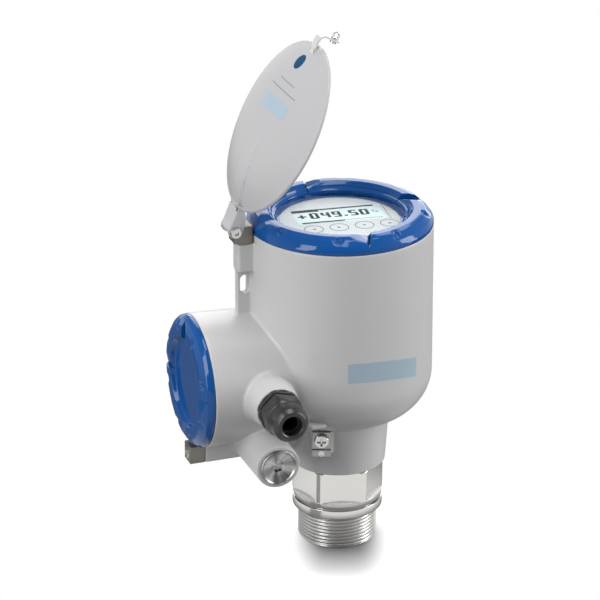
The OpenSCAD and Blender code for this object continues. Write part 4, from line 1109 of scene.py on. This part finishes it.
def world_light():
    """Room light, strongest at the sides and low behind the part. The camera sees plain white."""
    world = bpy.data.worlds.new("room")
    bpy.context.scene.world = world
    nt, out = blank_tree(world)
    way = node(nt, "TexCoord").outputs["Generated"]
    front, right, up = dot(nt, way, FRONT), dot(nt, way, RIGHT), dot(nt, way, (0, 0, 1))
    side = maths(nt, "POWER", maths(nt, "ABSOLUTE", right), SIDE_POWER)
    side = product(nt, side, total(nt, 1.0, product(nt, right, RIGHT_MORE)), SIDE)
    back = maths(nt, "POWER", maths(nt, "MAXIMUM", product(nt, front, -1.0), 0.0), BACK_POWER)
    low = maths(nt, "SUBTRACT", 1.0, product(nt, up, BACK_LOW), clamp=True)
    back = product(nt, back, maths(nt, "POWER", low, LOW_POWER), BACK)
    top = product(nt, maths(nt, "POWER", maths(nt, "MAXIMUM", up, 0.0), TOP_POWER), TOP)
    white = ("Color", (1, 1, 1, 1))
    lit = node(nt, "Background", [white, ("Strength", total(nt, side, BASE, back, top))])
    plain = node(nt, "Background", [white])
    mix = node(nt, "MixShader", [(0, seen_white(nt)[0]), (1, lit.outputs[0]), (2, plain.outputs[0])])
    nt.links.new(mix.outputs[0], out.inputs["Surface"])


def contact_shadow(nt, place):
    """How dark the contact shadow is. It leans away from the camera and stays narrow across the view."""
    lean = node(nt, "CombineXYZ", enumerate(SHADE_LEAN.normalized())).outputs[0]
    shade = node(nt, "AmbientOcclusion", [("Distance", SHADE_REACH), ("Normal", lean)], samples=16)
    dark = maths(nt, "SUBTRACT", 1.0, maths(nt, "POWER", shade.outputs["AO"], SHADE_POWER))
    across = maths(nt, "ABSOLUTE", maths(nt, "SUBTRACT", dot(nt, place, RIGHT), SHADE_MIDDLE))
    return product(nt, dark, ramp(nt, across, SHADE_OUT, SHADE_IN))


def mirrored_floor(nt, place, distance):
    """How bright the far floor is in mirror images."""
    front = ramp(nt, dot(nt, place, FRONT), -DARK_BACK, 0.0)
    behind = ramp(nt, dot(nt, place, -FRONT), BRIGHT_AGAIN, BRIGHT_FULL)
    way = node(nt, "VectorMath", [(0, place)], operation="NORMALIZE").outputs["Vector"]
    edges = [math.cos(math.radians(a)) for a in (FLAG_HALF + FLAG_SOFT, FLAG_HALF)]
    wedge = ramp(nt, dot(nt, way, FLAG_SIDE), *edges)
    close = ramp(nt, distance, FLAG_FAR, FLAG_NEAR, smooth=False)
    unflagged = maths(nt, "SUBTRACT", 1.0, product(nt, wedge, close, FLAG_STRENGTH))
    return product(nt, maths(nt, "MAXIMUM", front, behind), unflagged)


def floor_sheet():
    """White floor: near the part it is lit and takes the contact shadow, farther out it is plain white."""
    material = bpy.data.materials.new("floor white")
    nt, out = blank_tree(material)
    place = node(nt, "TexCoord").outputs["Object"]
    distance = node(nt, "VectorMath", [(0, place)], operation="LENGTH").outputs["Value"]
    seen, path = seen_white(nt)
    glossy = path.outputs["Is Glossy Ray"]
    open_sky = maths(nt, "SUBTRACT", 1.0, contact_shadow(nt, place))
    albedo = product(nt, total(nt, product(nt, glossy, -NEAR_DULL), FLOOR_ALBEDO), open_sky)
    diffuse = node(nt, "BsdfDiffuse", [("Color", albedo)])
    near_level = total(nt, product(nt, seen, NEAR_GLOW, open_sky), NEAR_BOUNCE)
    glow = node(nt, "Emission", [("Strength", near_level)])
    near = node(nt, "AddShader", [(0, diffuse.outputs[0]), (1, glow.outputs[0])])
    level = total(nt, product(nt, seen, FLOOR_SEEN - FLOOR_DIFFUSE), FLOOR_DIFFUSE,
                  product(nt, glossy, mirrored_floor(nt, place, distance), FLOOR_GLOSS - FLOOR_DIFFUSE))
    far = node(nt, "Emission", [("Strength", level)])
    mix = node(nt, "MixShader", [(0, ramp(nt, distance, NEAR_IN, NEAR_OUT)), (1, near.outputs[0]),
                                 (2, far.outputs[0])])
    nt.links.new(mix.outputs[0], out.inputs["Surface"])
    bpy.ops.mesh.primitive_circle_add(vertices=128, radius=6.0, fill_type="NGON",
                                      location=(0, 0, -(THREAD_LEN + 0.02) * MM))
    o = bpy.context.object
    o.name = "floor"
    o.data.materials.append(material)


def softbox(name, place, aim, size, power):
    """A rectangular lamp in metres and watts, aimed at a point."""
    lamp = bpy.data.lights.new(name, "AREA")
    lamp.shape = "RECTANGLE"
    lamp.size, lamp.size_y = size
    lamp.energy = power
    o = bpy.data.objects.new(name, lamp)
    o.location = place
    o.rotation_euler = (Vector(aim) - Vector(place)).to_track_quat("-Z", "Y").to_euler()
    bpy.context.scene.collection.objects.link(o)


world_light()
floor_sheet()
softbox("left box", (-1.2, -0.55, 0.75), (0, 0, 0.1), (0.4, 1.5), 13)
softbox("right box", (1.25, -0.35, 0.5), (0, 0, 0.1), (0.4, 1.1), 11)
softbox("back box", (0.3, 0.9, 0.88), (0, 0, 0.1), (0.9, 0.7), 6)
softbox("top box", (0.1, -0.2, 1.5), (0, 0, 0.15), (0.7, 0.5), 6)
softbox("rim box", (0.83, 1.36, 0.46), (0, 0, 0.19), (1.2, 0.62), 5)

cam_data = bpy.data.cameras.new("camera")
cam_data.lens = 173.76
cam_data.sensor_width = 36
cam_data.clip_start = 0.1
cam_data.clip_end = 30
cam = bpy.data.objects.new("camera", cam_data)
cam.matrix_world = Matrix(((0.94082564, 0.13089884, -0.31259016, -0.56163),
                           (-0.33887078, 0.37345557, -0.8635378, -1.48304),
                           (0.00370244, 0.91836617, 0.39571437, 0.81646),
                           (0, 0, 0, 1)))
bpy.context.scene.collection.objects.link(cam)
scene = bpy.context.scene
scene.camera = cam
scene.render.engine = "CYCLES"
scene.render.resolution_x = 600
scene.render.resolution_y = 600
scene.view_settings.view_transform = "Standard"
scene.view_settings.look = "None"
scene.cycles.samples = 256
scene.cycles.use_denoising = True
